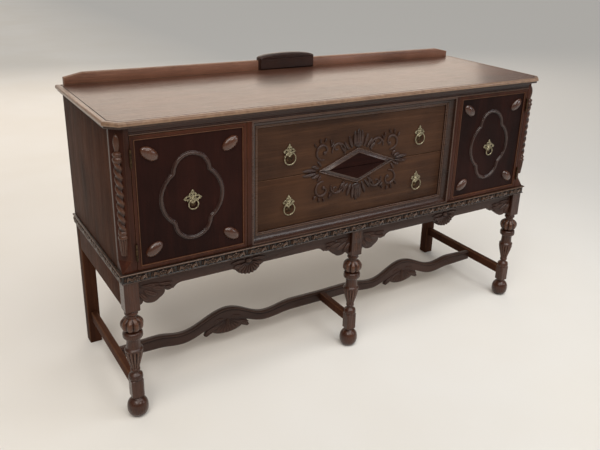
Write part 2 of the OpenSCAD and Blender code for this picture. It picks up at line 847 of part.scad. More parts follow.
module door_ring(side) {
  on_side(side) translate([-door_cx, door_pivot_y, door_pull_z]) pull_ring(door_ring_r);
}

module door_left_slab() { door_slab(-1); }
module door_left_rim() { door_rim(-1); }
module door_left_quatrefoil() { door_quatrefoil(-1); }
module door_left_jewels() { door_jewels(-1); }
module door_left_hinge_leaves() { door_hinge_leaves(-1); }
module door_left_pull_plate() { door_pull_plate(-1); }
module door_left_ring() { door_ring(-1); }
module door_right_slab() { door_slab(1); }
module door_right_rim() { door_rim(1); }
module door_right_quatrefoil() { door_quatrefoil(1); }
module door_right_jewels() { door_jewels(1); }
module door_right_hinge_leaves() { door_hinge_leaves(1); }
module door_right_pull_plate() { door_pull_plate(1); }
module door_right_ring() { door_ring(1); }

// ---- drawers ----

module drawer_front(z0, z1) {
  pull_z = (z0 + z1) / 2 - 5;
  color(drawer_walnut) difference() {
    box(-front_hw, front_hw, drawer_y, front_back_y, z0, z1);
    // the groove for the drawer bottom
    box(-side_x + groove_d, side_x - groove_d, front_back_y - groove_d, front_back_y + 1,
      z0 + groove_up, z0 + groove_up + bottom_t);
    for (x = [-pull_x, pull_x]) translate([x, front_back_y + 1, pull_z]) rotate([90, 0, 0])
      cylinder(r = bolt_hole_r, h = front_t + 2, $fn = 24);
  }
}

module drawer_box(z0, z1) {
  rear = back_y - box_room;
  panel_z = z0 + groove_up;
  color(inner_wood) {
    both_sides() difference() {
      box(-side_x, -side_x + side_t, front_back_y, rear, z0, z1);
      box(-side_x + side_t - groove_d, -side_x + side_t + 1, front_back_y - 1, rear + 1,
        panel_z, panel_z + bottom_t);
    }
    // the back stands on the bottom panel
    box(-side_x + side_t, side_x - side_t, rear - side_t, rear, panel_z + bottom_t, z1);
    box(-side_x + side_t - groove_d, side_x - side_t + groove_d, front_back_y, rear,
      panel_z, panel_z + bottom_t);
    box(-side_x + groove_d, side_x - groove_d, front_back_y - groove_d, front_back_y,
      panel_z, panel_z + bottom_t);
  }
}

// The part of a flat shape above (s = 1) or below (s = -1) the split between the drawers.
module half_shape(s) {
  intersection() {
    children();
    translate([-open_hw, s > 0 ? half_split : -open_hw - half_split]) square([2 * open_hw, open_hw]);
  }
}

module diamond(d) {
  k = 1 - d / (diamond_hh * cos(atan(diamond_hh / diamond_hl)));
  polygon([[-diamond_hl * k, 0], [0, diamond_hh * k], [diamond_hl * k, 0], [0, -diamond_hh * k]]);
}

// Lifts a flat shape off the drawer faces to height h.
module on_fronts(h) {
  translate([0, drawer_y, split_z]) rotate([90, 0, 0]) linear_extrude(h) children();
}

module drawer_diamond(s) {
  color(dark_walnut) union() {
    on_fronts(diamond_edge) half_shape(s) diamond(0);
    // the raised, bevelled field
    on_fronts((diamond_edge + diamond_p) / 2) half_shape(s) diamond(diamond_w / 2);
    on_fronts(diamond_p) half_shape(s) diamond(diamond_w);
  }
}

module scroll_shape(s) {
  cx = diamond_hl - 22;
  cz = diamond_hh + 6;
  for (side = [-1, 1]) {
    // the C scroll with its curled end
    translate([side * cx, s * cz]) {
      difference() {
        circle(r = 31, $fn = 48);
        circle(r = 23, $fn = 48);
      }
      translate([side * 16, -s * 6]) circle(r = 8, $fn = 32);
    }
    // the swag between the scroll and the crest
    translate([side * 80, s * (diamond_hh - 2)]) difference() {
      circle(r = 30, $fn = 48);
      circle(r = 23, $fn = 48);
      translate([-40, s > 0 ? -60 : 0]) square([80, 60]);
    }
    // the leaf at the end of the diamond
    polygon([[side * (diamond_hl - 18), 0], [side * (diamond_hl + 10), s * 16],
      [side * (diamond_hl + 58), 0]]);
  }
  // the crest
  polygon(concat(
    arc(0, s * (diamond_hh + 16), 56, s * 30, 0, 60, 6),
    [[0, s * (diamond_hh + 64)]],
    arc(0, s * (diamond_hh + 16), 56, s * 30, 120, 180, 6),
    [[-40, s * diamond_hh * 0.7], [40, s * diamond_hh * 0.7]]
  ));
}

module drawer_scrolls(s) {
  color(dark_walnut) on_fronts(scroll_p) half_shape(s) difference() {
    scroll_shape(s);
    diamond(0);
  }
}

module drawer_pull_plates(z0, z1) {
  color(brass) for (x = [-pull_x, pull_x])
    translate([x, drawer_pivot_y, (z0 + z1) / 2 - 5]) pull_plate(22, 28, 16, front_t);
}

module drawer_ring(x, z0, z1) {
  translate([x, drawer_pivot_y, (z0 + z1) / 2 - 5]) pull_ring(ring_r);
}

module upper_drawer_front() { drawer_front(upper_z0, upper_z1); }
module upper_drawer_box() { drawer_box(upper_z0, upper_box_z1); }
module upper_drawer_diamond() { drawer_diamond(1); }
module upper_drawer_scrolls() { drawer_scrolls(1); }
module upper_drawer_pull_plates() { drawer_pull_plates(upper_z0, upper_z1); }
module upper_drawer_ring_left() { drawer_ring(-pull_x, upper_z0, upper_z1); }
module upper_drawer_ring_right() { drawer_ring(pull_x, upper_z0, upper_z1); }
module lower_drawer_front() { drawer_front(lower_z0, lower_z1); }
module lower_drawer_box() { drawer_box(lower_z0, lower_box_z1); }
module lower_drawer_diamond() { drawer_diamond(-1); }
module lower_drawer_scrolls() { drawer_scrolls(-1); }
module lower_drawer_pull_plates() { drawer_pull_plates(lower_z0, lower_z1); }
module lower_drawer_ring_left() { drawer_ring(-pull_x, lower_z0, lower_z1); }
module lower_drawer_ring_right() { drawer_ring(pull_x, lower_z0, lower_z1); }

top_slab();
gallery_rail();
gallery_crest();
frieze_rail();
case_sides();
case_back();
case_bottom();
partitions();
corner_posts();
corner_columns();
drawer_surround();
dust_frame();
drawer_runners();
shelves();
inner_blocks();
carved_moulding_front();
carved_moulding_sides();
leg_front_left();
leg_front_centre();
leg_front_right();
leg_back_left();
leg_back_right();
apron_front_left();
apron_front_right();
aprons_side();
apron_back();
stretchers_side();
stretcher_long();
stretcher_centre();
case_hinges();
door_left_slab();
door_left_rim();
door_left_quatrefoil();
door_left_jewels();
door_left_hinge_leaves();
door_left_pull_plate();
door_left_ring();
door_right_slab();
door_right_rim();
door_right_quatrefoil();
door_right_jewels();
door_right_hinge_leaves();
door_right_pull_plate();
door_right_ring();
upper_drawer_front();
upper_drawer_box();
upper_drawer_diamond();
upper_drawer_scrolls();
upper_drawer_pull_plates();
upper_drawer_ring_left();
upper_drawer_ring_right();
lower_drawer_front();
lower_drawer_box();
lower_drawer_diamond();
lower_drawer_scrolls();
lower_drawer_pull_plates();
lower_drawer_ring_left();
lower_drawer_ring_right();
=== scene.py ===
# %% [markdown]
# # A carved walnut sideboard
# The real piece is a long buffet on six legs: two cupboard doors at the ends, two
# drawers between them, turned front legs and a wavy stretcher. Each step below says
# what a piece is, how it could be made, and why it is made this way.
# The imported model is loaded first, because every piece has to sit where its solid is.

# %% Load the frame
import math

import bmesh
import bpy
import numpy as np
from mathutils import Matrix, Vector


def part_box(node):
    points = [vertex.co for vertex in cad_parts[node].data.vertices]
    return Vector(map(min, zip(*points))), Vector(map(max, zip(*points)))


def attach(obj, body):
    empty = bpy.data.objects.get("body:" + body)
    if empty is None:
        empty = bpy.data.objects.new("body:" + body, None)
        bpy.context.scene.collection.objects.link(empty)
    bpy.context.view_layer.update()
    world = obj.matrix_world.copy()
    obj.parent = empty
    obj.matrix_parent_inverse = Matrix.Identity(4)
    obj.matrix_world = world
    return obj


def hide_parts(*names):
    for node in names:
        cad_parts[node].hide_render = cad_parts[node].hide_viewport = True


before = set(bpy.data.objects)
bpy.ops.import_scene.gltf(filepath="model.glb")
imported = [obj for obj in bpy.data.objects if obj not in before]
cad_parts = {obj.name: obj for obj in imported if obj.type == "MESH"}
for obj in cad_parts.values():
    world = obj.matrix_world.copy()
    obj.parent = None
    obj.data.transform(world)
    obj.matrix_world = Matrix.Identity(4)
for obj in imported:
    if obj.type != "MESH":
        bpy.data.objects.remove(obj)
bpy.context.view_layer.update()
scene = bpy.context.scene
MM = 0.001


# %% Read sizes in millimetres
def edges(node):
    """x0, x1, y0, y1, z0, z1 of a solid, in millimetres."""
    lo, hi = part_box(node)
    return [v / MM for pair in zip(lo, hi) for v in pair]


_, TOP_X, _, TOP_Y, SLAB_Z, TOP_Z = edges("top_slab")
CASE_X, FRONT_Y, REAR_Y, BASE_Z = edges("case_bottom")[1:5]
print("slab", TOP_X, TOP_Y, TOP_Z, "case", CASE_X, FRONT_Y, REAR_Y, BASE_Z)

# %% [markdown]
# ## Wood from noise
# Walnut is brown with darker streaks along the grain, fine open pores, and a varnish
# that shines. An image texture would do, but a procedural one needs no picture
# and has no seams. Object coordinates are stretched along the grain, so that round
# noise becomes long streaks. An attribute named rise says how far a carved point
# stands out: hollows and low points are painted dark as shade, and ridges are rubbed
# to a lighter brown.

# %% Node helpers
def add(tree, kind, settings=None, **values):
    """A node with its properties and its input values."""
    made = tree.nodes.new(kind)
    for name, value in (settings or {}).items():
        setattr(made, name, value)
    for name, value in values.items():
        made.inputs[name.replace("_", " ")].default_value = value
    return made


def wired(tree, kind, settings=None, **links):
    """A node whose inputs, by index or name, are linked to sockets or given values."""
    made = add(tree, kind, settings)
    for key, value in links.items():
        socket = made.inputs[int(key[1:])] if key[1:].isdigit() else made.inputs[key]
        if isinstance(value, bpy.types.NodeSocket):
            tree.links.new(value, socket)
        else:
            socket.default_value = value
    return made.outputs[0]


def calc(tree, operation, *values):
    """The result of one math node."""
    return wired(tree, "ShaderNodeMath", {"operation": operation},
                 **{f"_{k}": value for k, value in enumerate(values)})


def noise_of(tree, place, stretch, detail, distortion=0.0):
    """Noise on object coordinates, stretched by three scales."""
    spread = wired(tree, "ShaderNodeMapping", Vector=place, Scale=stretch)
    return wired(tree, "ShaderNodeTexNoise", Vector=spread, Scale=1.0, Detail=detail,
                 Roughness=0.6, Distortion=distortion)


def ranged(tree, value, low, high, out_low, out_high):
    """A value mapped from one range to another, clamped."""
    return wired(tree, "ShaderNodeMapRange", _0=value, _1=low, _2=high, _3=out_low, _4=out_high)


def mixed(tree, share, a, b):
    """Two colours, or a colour socket and a colour, mixed by a share."""
    made = add(tree, "ShaderNodeMix", {"data_type": "RGBA"})
    for socket, value in ((made.inputs[0], share), (made.inputs[6], a), (made.inputs[7], b)):
        if isinstance(value, bpy.types.NodeSocket):
            tree.links.new(value, socket)
        else:
            socket.default_value = value if isinstance(value, float) else (*value, 1.0)
    return made.outputs[2]


# %% The wood material
ALONG = {"x": (1, 0, 0), "y": (0, 1, 0), "z": (0, 0, 1)}


def wood(name, tones, grain="x", streak=26.0, gloss=0.3, coat=0.35, worn=None, hollow=None,
         wear=1.0, shine=0.3):
    """Varnished wood: tones from dark to light, grain along one axis."""
    mat = bpy.data.materials.new(name)
    mat.use_nodes = True
    tree = mat.node_tree
    shader = tree.nodes["Principled BSDF"]
    place = add(tree, "ShaderNodeTexCoord").outputs["Object"]
    long = ALONG[grain]
    figure = noise_of(tree, place, [1.6 if k else streak for k in long], 6.0, 0.7)
    fine = noise_of(tree, place, [9.0 if k else streak * 9 for k in long], 3.0, 0.2)
    pores = noise_of(tree, place, [26.0 if k else 900.0 for k in long], 2.0)
    cloud = noise_of(tree, place, (3.1, 3.1, 3.1), 3.0)
    ramp = add(tree, "ShaderNodeValToRGB")
    ramp.color_ramp.elements[0].position = 0.32
    ramp.color_ramp.elements[1].position = 0.68
    for spot, tone in zip(ramp.color_ramp.elements, (tones[0], tones[-1])):
        spot.color = (*tone, 1.0)
    middle = ramp.color_ramp.elements.new(0.5)
    middle.color = (*tones[1], 1.0)
    tree.links.new(figure, ramp.inputs["Fac"])
    colour = mixed(tree, ranged(tree, fine, 0.35, 0.7, 0.0, 0.6), ramp.outputs["Color"],
                   tones[0])
    colour = mixed(tree, ranged(tree, pores, 0.52, 0.66, 0.0, 0.55), colour,
                   [c * 0.35 for c in tones[0]])
    colour = mixed(tree, ranged(tree, cloud, 0.35, 0.65, 0.0, 0.5), colour,
                   [c * 1.25 for c in tones[-1]])
    if worn or hollow:
        rise = add(tree, "ShaderNodeAttribute", {"attribute_name": "rise"}).outputs["Fac"]
        level = calc(tree, "MULTIPLY_ADD", noise_of(tree, place, (90, 90, 90), 3.0), 0.55, rise)
        # Painted shade: points with a low rise, in hollows, grooves and round carving, are darkened
        # towards near black.
        if hollow:
            colour = mixed(tree, ranged(tree, level, 0.3, 0.75, 0.92, 0.0), colour, hollow)
        if worn:
            colour = mixed(tree, ranged(tree, level, 0.82, 1.3, 0.0, wear), colour, worn)
    tree.links.new(colour, shader.inputs["Base Color"])
    tree.links.new(ranged(tree, fine, 0.3, 0.7, gloss, gloss + 0.16), shader.inputs["Roughness"])
    shader.inputs["Specular IOR Level"].default_value = shine
    shader.inputs["Coat Weight"].default_value = coat
    shader.inputs["Coat Roughness"].default_value = 0.16
    bump = add(tree, "ShaderNodeBump", Strength=0.35, Distance=0.0006)
    tree.links.new(ranged(tree, pores, 0.45, 0.7, 1.0, 0.0), bump.inputs["Height"])
    tree.links.new(bump.outputs["Normal"], shader.inputs["Normal"])
    return mat


# %% [markdown]
# ## The finishes
# The sideboard has one family of stains: a red-brown top, nearly black door panels,
# warmer drawer fronts, dark carving with rubbed ridges, and pale unvarnished wood
# inside. They share the wood above, so only the tones and the grain's axis change.

# %% Mix the walnuts
RUBBED = (0.2, 0.098, 0.05)
LIP = (0.31, 0.195, 0.12)
# The near-black colour of the painted shade in hollows, grooves and round carving.
PAINTED_SHADE = (0.006, 0.0036, 0.003)
top_wood = wood("top_walnut",
                [(0.042, 0.016, 0.01), (0.075, 0.029, 0.017), (0.11, 0.045, 0.025)],
                "x", gloss=0.26, coat=0.4, worn=LIP, hollow=PAINTED_SHADE, wear=0.9)
gallery_wood = wood("gallery_walnut",
                    [(0.09, 0.037, 0.021), (0.155, 0.063, 0.036), (0.225, 0.1, 0.06)],
                    "x", gloss=0.34, coat=0.15, worn=LIP, wear=0.8)
side_wood = wood("side_walnut",
                 [(0.024, 0.0085, 0.0045), (0.048, 0.0165, 0.0085), (0.08, 0.03, 0.015)],
                 "z", gloss=0.5, coat=0.0, worn=RUBBED, wear=0.6, shine=0.05)
rail_wood = wood("rail_walnut",
                 [(0.011, 0.0045, 0.003), (0.022, 0.0085, 0.0055), (0.042, 0.015, 0.009)],
                 "x", gloss=0.26, coat=0.2, worn=RUBBED, wear=0.55, shine=0.25)
panel_wood = wood("door_panel_walnut",
                  [(0.005, 0.0018, 0.0015), (0.012, 0.0036, 0.0028), (0.026, 0.007, 0.0048)],
                  "z", streak=15.0, gloss=0.3, coat=0.03, shine=0.06)
rim_wood = wood("door_rim_walnut",
                [(0.018, 0.0055, 0.0033), (0.038, 0.0105, 0.0055), (0.066, 0.019, 0.009)],
                "z", gloss=0.28, coat=0.12, worn=RUBBED, wear=0.4, shine=0.1)
drawer_wood = wood("drawer_walnut",
                   [(0.02, 0.0075, 0.0036), (0.042, 0.017, 0.008), (0.078, 0.034, 0.0155)],
                   "x", streak=34.0, gloss=0.38, coat=0.04, worn=RUBBED, wear=0.6, shine=0.14)
carved_wood = wood("carved_walnut",
                   [(0.011, 0.0055, 0.0038), (0.021, 0.01, 0.0065), (0.04, 0.019, 0.011)],
                   "x", gloss=0.24, coat=0.3, worn=(0.13, 0.068, 0.038), hollow=PAINTED_SHADE, wear=0.8)
apron_wood = wood("apron_walnut",
                  [(0.018, 0.0075, 0.005), (0.033, 0.0135, 0.0088), (0.052, 0.021, 0.013)],
                  "x", gloss=0.34, coat=0.15, worn=(0.085, 0.042, 0.026), hollow=PAINTED_SHADE,
                  wear=0.35, shine=0.2)
surround_wood = wood("surround_walnut",
                     [(0.016, 0.0065, 0.0042), (0.03, 0.012, 0.0075), (0.05, 0.02, 0.012)],
                     "x", gloss=0.22, coat=0.4, worn=RUBBED, wear=0.35, shine=0.3)
turned_wood = wood("turned_walnut",
                   [(0.018, 0.0065, 0.0038), (0.036, 0.0125, 0.0068), (0.068, 0.024, 0.012)],
                   "z", gloss=0.2, coat=0.35, worn=(0.13, 0.055, 0.028), hollow=PAINTED_SHADE,
                   wear=0.55, shine=0.2)
jewel_wood = wood("jewel_walnut",
                  [(0.02, 0.0058, 0.0032), (0.048, 0.014, 0.0065), (0.09, 0.03, 0.012)],
                  "z", gloss=0.2, coat=0.8)
inner_wood = wood("inner_oak", [(0.2, 0.12, 0.065), (0.3, 0.19, 0.105), (0.38, 0.25, 0.15)],
                  "y", gloss=0.6, coat=0.0)
print(len(bpy.data.materials), "woods mixed")

# %% [markdown]
# ## Antique brass
# The pulls and hinges are cast brass, dull and brown in their hollows and pale where
# hands rub them. Metal has no colour under its shine, so the tarnish is mixed into
# the base colour and into the roughness with the same noise.

# %% The brass material
brass = bpy.data.materials.new("antique_brass")
brass.use_nodes = True
tree = brass.node_tree
shader = tree.nodes["Principled BSDF"]
shader.inputs["Metallic"].default_value = 1.0
place = add(tree, "ShaderNodeTexCoord").outputs["Object"]
tarnish = noise_of(tree, place, (260, 260, 260), 4.0, 0.3)
tree.links.new(mixed(tree, ranged(tree, tarnish, 0.36, 0.6, 0.0, 0.85), (0.5, 0.45, 0.31),
                     (0.1, 0.075, 0.04)), shader.inputs["Base Color"])
tree.links.new(ranged(tree, tarnish, 0.35, 0.65, 0.26, 0.55), shader.inputs["Roughness"])
bump = add(tree, "ShaderNodeBump", Strength=0.4, Distance=0.0005)
tree.links.new(noise_of(tree, place, (700, 700, 700), 2.0), bump.inputs["Height"])
tree.links.new(bump.outputs["Normal"], shader.inputs["Normal"])

# %% The dark hinge metal
bronze = bpy.data.materials.new("dark_hinge_brass")
bronze.use_nodes = True
tree = bronze.node_tree
shader = tree.nodes["Principled BSDF"]
shader.inputs["Metallic"].default_value = 1.0
place = add(tree, "ShaderNodeTexCoord").outputs["Object"]
tarnish = noise_of(tree, place, (180, 180, 180), 4.0, 0.3)
tree.links.new(mixed(tree, ranged(tree, tarnish, 0.4, 0.62, 0.0, 1.0), (0.1, 0.062, 0.034),
                     (0.03, 0.02, 0.013)), shader.inputs["Base Color"])
tree.links.new(ranged(tree, tarnish, 0.35, 0.65, 0.4, 0.6), shader.inputs["Roughness"])

# %% [markdown]
# ## A bench for shapes
# Most pieces here are strips bent round an outline, plates cut to an outline, turned
# work, or carved leaves. All four are grids of points, so one small class collects
# grids and makes the mesh. Merging doubles closes seams and poles, and normals are
# worked out after that, on closed shells, so that every face looks outwards.

# %% Collect grids into one mesh
class Shape:
    """Points in millimetres and faces of one piece, with how far each point stands out."""

    def __init__(self):
        self.points, self.faces, self.rise = [], [], []

    def grid(self, points, rise=0.0, wrap_u=False, wrap_v=False, caps=True):
        """Quads over an n by m grid; open ends are closed with one face."""
        points = np.asarray(points, float)
        n, m = points.shape[:2]
        first = len(self.points)
        self.points += [tuple(p) for p in points.reshape(-1, 3)]
        self.rise += list(np.broadcast_to(rise, (n, m)).ravel())
        at = lambda i, j: first + (i % n) * m + j % m
        for i in range(n if wrap_u else n - 1):
            for j in range(m if wrap_v else m - 1):
                self.faces.append((at(i, j), at(i + 1, j), at(i + 1, j + 1), at(i, j + 1)))
        if caps and wrap_v and not wrap_u:
            self.faces.append([at(0, j) for j in range(m)])
            self.faces.append([at(n - 1, j) for j in reversed(range(m))])
        if caps and not wrap_v and not wrap_u:
            rim = [at(i, 0) for i in range(n)] + [at(n - 1, j) for j in range(1, m)]
            rim += [at(i, m - 1) for i in reversed(range(n - 1))]
            rim += [at(0, j) for j in reversed(range(1, m - 1))]
            self.faces.append(rim)
        return self

    def mesh(self, name, material, crease=35):
        """The collected grids as one mesh in metres, smooth below the crease angle."""
        made = bpy.data.meshes.new(name)
        made.from_pydata([[c * MM for c in p] for p in self.points], [], self.faces)
        rise = made.attributes.new("rise", "FLOAT", "POINT")
        rise.data.foreach_set("value", np.asarray(self.rise, np.float32))
        bm = bmesh.new()
        bm.from_mesh(made)
        bmesh.ops.remove_doubles(bm, verts=bm.verts, dist=2e-5)
        bmesh.ops.recalc_face_normals(bm, faces=bm.faces)
        bm.to_mesh(made)
        bm.free()
        made.shade_smooth()
        made.set_sharp_from_angle(angle=math.radians(crease))
        made.materials.append(material)
        return made


def place_piece(name, mesh, body, slot, *nodes):
    """Puts a mesh in the scene as a piece on a body, in place of some solids."""
    piece = bpy.data.objects.new(name, mesh)
    scene.collection.objects.link(piece)
    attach(piece, body)
    if nodes:
        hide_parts(*nodes)
    print(f"{name}: {len(mesh.polygons)} faces")
    return piece


# %% Strips and plates that follow an outline
def unit(v):
    return v / np.maximum(np.linalg.norm(v, axis=-1, keepdims=True), 1e-9)


def sideways(path, closed):
    """At each point of a flat path, the step to its right that keeps edges parallel."""
    path = np.asarray(path, float)
    ahead = unit(np.roll(path, -1, 0) - path)
    behind = np.roll(ahead, 1, 0)
    if not closed:
        ahead[-1], behind[0] = behind[-1], ahead[0]
    right = [np.stack([v[:, 1], -v[:, 0]], 1) for v in (behind, ahead)]
    return (right[0] + right[1]) / (1 + (right[0] * right[1]).sum(1))[:, None]


def facing(y):
    """Puts flat points on an upright face that looks to the front, h in front of y."""
    return lambda x, z, h: (x, y - h, z)


def level(x, y, h):
    return (x, y, h)


def strip(shape, path, profile, put, closed=True, scale=1.0, rise=0.0):
    """A profile of (sideways, height) carried along a flat path."""
    path = np.asarray(path, float)
    across = sideways(path, closed)
    scale = np.broadcast_to(scale, len(path))
    rows = [[put(*(p + a * s * step), h * s) for a, h in profile]
            for p, step, s in zip(path, across, scale)]
    return shape.grid(rows, np.broadcast_to(rise, (len(path), len(profile))), closed, True)


def plate(shape, outline, layers, put, rise=0.0):
    """Nested copies of an outline, each layer an (inset, height), closed at both ends."""
    outline = np.asarray(outline, float)
    across = sideways(outline, True)
    rows = [[put(*(p - a * step), h) for p, step in zip(outline, across)] for a, h in layers]
    rise = np.broadcast_to(np.reshape(rise, (-1, 1)), (len(layers), len(outline)))
    return shape.grid(rows, rise, False, True)


def arc(cx, cz, rx, rz, a0, a1, n):
    """Points on an ellipse, from angle a0 to a1 in degrees."""
    turn = np.radians(np.linspace(a0, a1, n + 1))
    return [(cx + rx * math.cos(t), cz + rz * math.sin(t)) for t in turn]


# %% [markdown]
# ## The top
# The top is a walnut slab with canted front corners, a rounded lip, a hollow under
# it, and one incised line that runs inside the edge. A bevel modifier can't cut that
# line, so the slab is nested copies of its outline, each a little further in.

# %% The slab
SLAB_CANT = 34


def slab_outline():
    x, y = TOP_X, TOP_Y
    return [(-x, y), (-x, -y + SLAB_CANT), (-x + SLAB_CANT, -y), (x - SLAB_CANT, -y),
            (x, -y + SLAB_CANT), (x, y)]


slab_edge = [(8, 0), (6, 0.4), (5, 1.4), (5, 6.4), (3.4, 7.4), (1.2, 8), (0.3, 9), (0, 10.5),
             (0, 14), (0.6, 16.6), (2.0, 18.6), (4.2, 19.7), (7, 20), (14, 20), (14.8, 18.2),
             (17, 18.2), (17.8, 20), (20, 20)]
# Painted shade: the incised groove (rise 0) goes near black, and the hollow under the lip (0.1 to
# 0.2) is darkened.
slab_rise = [0.1, 0.1, 0.2, 0.2, 0.5, 0.9, 1.0, 0.95, 0.8, 0.85, 0.85, 0.8, 0.75, 0.7, 0, 0,
             0.5, 0.5]
slab = plate(Shape(), slab_outline(), [(a, SLAB_Z + h) for a, h in slab_edge], level, slab_rise)
place_piece("moulded_top", slab.mesh("moulded_top", top_wood), "case", "top_walnut", "top_slab")

# %% [markdown]
# ## The gallery
# Along the back stands a low rail with sloping ends and a raised, arched crest in
# the middle. Both are boards with rounded upper edges, so both are plates.

# %% The rail and the crest
RAIL_X, RAIL_Z = edges("gallery_rail")[1], edges("gallery_rail")[5]
CREST_X, CREST_Z = edges("gallery_crest")[1], edges("gallery_crest")[5]
RAIL_T, CREST_T = 16, 25
rail_outline = [(-RAIL_X, TOP_Z - 1), (RAIL_X, TOP_Z - 1), (RAIL_X, RAIL_Z - 13),
                (RAIL_X - 60, RAIL_Z), (-RAIL_X + 60, RAIL_Z), (-RAIL_X, RAIL_Z - 13)]
crest_outline = [(-CREST_X, TOP_Z - 1), (CREST_X, TOP_Z - 1)]
crest_outline += arc(0, CREST_Z - 16, CREST_X, 16, 0, 180, 28)


def board_layers(depth, soft=3.0):
    """A board from its back to a front with rounded edges."""
    return [(1, 0), (0, 1), (0, depth - soft), (soft * 0.3, depth - soft * 0.3), (soft, depth)]


gallery = Shape()
plate(gallery, rail_outline, board_layers(RAIL_T), facing(TOP_Y), [0.5, 0.6, 0.6, 0.85, 0.5])
place_piece("gallery", gallery.mesh("gallery", gallery_wood), "case", "top_walnut", "gallery_rail")
crest = Shape()
plate(crest, crest_outline, board_layers(CREST_T - 6, 2) + [(4, CREST_T - 5), (5, CREST_T - 2),
      (7, CREST_T)], facing(TOP_Y), [0.1, 0.3, 0.5, 0.6, 0.2, 0, 0.5, 0.1])
place_piece("arched_crest", crest.mesh("arched_crest", rail_wood), "case", "case_walnut",
            "gallery_crest")

# %% [markdown]
# ## The rail under the top
# A dark rail closes the case under the slab. It has a small bead along its lower
# edge and a groove above it, which catch the light as two fine lines. Its section is
# constant, so it is a strip along a straight path.

# %% The frieze rail
rail_x0, rail_x1, _, rail_y1, rail_z0 = edges("frieze_rail")[:5]
section = [(rail_y1 - FRONT_Y, 0)] + [(-h, z) for h, z in arc(0, 2, 2, 2, -90, 80, 6)]
section += [(0.8, 4.2), (0.8, 6), (-0.4, 6.4), (-1.2, 7.6), (-0.4, 8.8), (0.6, 9.2), (0, 10.2),
            (0, 15), (-1.6, 17), (-2.2, 22.2), (rail_y1 - FRONT_Y, 22.2)]
frieze = Shape()
frieze.grid([[(x, FRONT_Y + d, rail_z0 + z) for d, z in section] for x in (rail_x0, rail_x1)],
            [[0.0] + [0.85] * 5 + [0.3] + [0] * (len(section) - 7)] * 2, False, True)
place_piece("frieze", frieze.mesh("frieze", rail_wood), "case", "case_walnut", "frieze_rail")

# %% [markdown]
# ## Boards with eased edges
# The case sides, the corner posts, the square legs and the plain rails are boards.
# No real board has a razor edge: each is eased with a plane, and the eased edge is
# where the stain rubs off. A copy of each solid is merged and its long edges
# bevelled, and the bevels are marked as worn on the face attribute.

# %% Ease the edges of a solid
def eased(name, node, material, slot, width=1.5, body="case", shortest=8.0, worn=0.75):
    """A copy of a solid with its long edges bevelled and rubbed."""
    bm = bmesh.new()
    bm.from_mesh(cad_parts[node].data)
    bmesh.ops.remove_doubles(bm, verts=bm.verts, dist=2e-5)
    bmesh.ops.dissolve_limit(bm, angle_limit=math.radians(1), verts=bm.verts, edges=bm.edges)
    rise = bm.faces.layers.float.new("rise")
    sharp = [e for e in bm.edges if len(e.link_faces) == 2 and e.calc_length() > shortest * MM
             and e.calc_face_angle(0) > math.radians(25)]
    made = bmesh.ops.bevel(bm, geom=sharp, offset=width * MM, segments=2, profile=0.5,
                           affect="EDGES", clamp_overlap=True)
    for face in made["faces"]:
        face[rise] = worn
    mesh = bpy.data.meshes.new(name)
    bm.to_mesh(mesh)
    bm.free()
    mesh.shade_smooth()
    mesh.set_sharp_from_angle(angle=math.radians(32))
    mesh.materials.clear()
    mesh.materials.append(material)
    return place_piece(name, mesh, body, slot, node)


for name, node, material, width in (
        ("end_boards", "case_sides", side_wood, 1.5),
        ("canted_posts", "corner_posts", rim_wood, 1.2),
        ("rear_leg_left", "leg_back_left", side_wood, 2.5),
        ("rear_leg_right", "leg_back_right", side_wood, 2.5),
        ("end_aprons", "aprons_side", side_wood, 2),
        ("rear_apron", "apron_back", rail_wood, 2),
        ("centre_stretcher", "stretcher_centre", side_wood, 3),
        ("end_stretchers", "stretchers_side", side_wood, 4),
        ("partition_boards", "partitions", rim_wood, 1.2)):
    eased(name, node, material, "case_walnut", width)

# %% [markdown]
# ## The drawer surround
# A deep moulding frames the drawers: a flat, a cove that sinks to the drawers, and
# two beads beside them. Cut strips could be mitred at the corners, but a strip
# carried round the opening mitres itself.

# %% The surround
OPEN_X, OPEN_Z0, OPEN_Z1 = 378, 527, 868
opening = [(-OPEN_X, OPEN_Z0), (OPEN_X, OPEN_Z0), (OPEN_X, OPEN_Z1), (-OPEN_X, OPEN_Z1)]
cove = [(30, 0.0), (26, 0.0), (25, -0.6)]
cove += [(30 - w, -d) for d, w in arc(0, 21, 21, 16, -85, 0, 9)]
beads = [(30 - w, -d) for d, w in arc(21.5, 23.2, 2.2, 2.2, 270, 90, 7)]
beads += [(30 - w, -d) for d, w in arc(24, 27.7, 2.3, 2.3, 270, 90, 7)]
surround_profile = cove + beads + [(0, -30), (0, -46), (30, -46)]
bead_marks = [0.2, 0.8, 1.0, 1.0, 1.0, 0.9, 0.6, 0.1]
surround_rise = [0.6, 0.8, 0.7] + [0.25] * 10 + bead_marks * 2 + [0] * 3
surround = strip(Shape(), opening, surround_profile, facing(FRONT_Y), True, 1.0, surround_rise)
place_piece("drawer_moulding", surround.mesh("drawer_moulding", surround_wood), "case",
            "case_walnut", "drawer_surround")

# %% [markdown]
# ## The corner columns
# A half column stands on each cant: a reeded base, rings, a rope-twist shaft and a
# drop above it. The shaft follows a rule, a lobed section that turns as it rises, so
# Geometry Nodes make it: a line, a lobed profile carried along it, and a tilt that
# grows with height. The rest is turned work.

# %% Helpers for node trees
def node_tree(name, **inputs):
    """An empty geometry tree with named inputs, each given as (socket type, value)."""
    made = bpy.data.node_groups.new(name, "GeometryNodeTree")
    face = made.interface
    face.new_socket("Geometry", in_out="INPUT", socket_type="NodeSocketGeometry")
    face.new_socket("Geometry", in_out="OUTPUT", socket_type="NodeSocketGeometry")
    for title, (kind, value) in inputs.items():
        socket = face.new_socket(title.replace("_", " "), in_out="INPUT", socket_type=kind)
        socket.default_value = value
    return made, made.nodes.new("NodeGroupInput"), made.nodes.new("NodeGroupOutput")


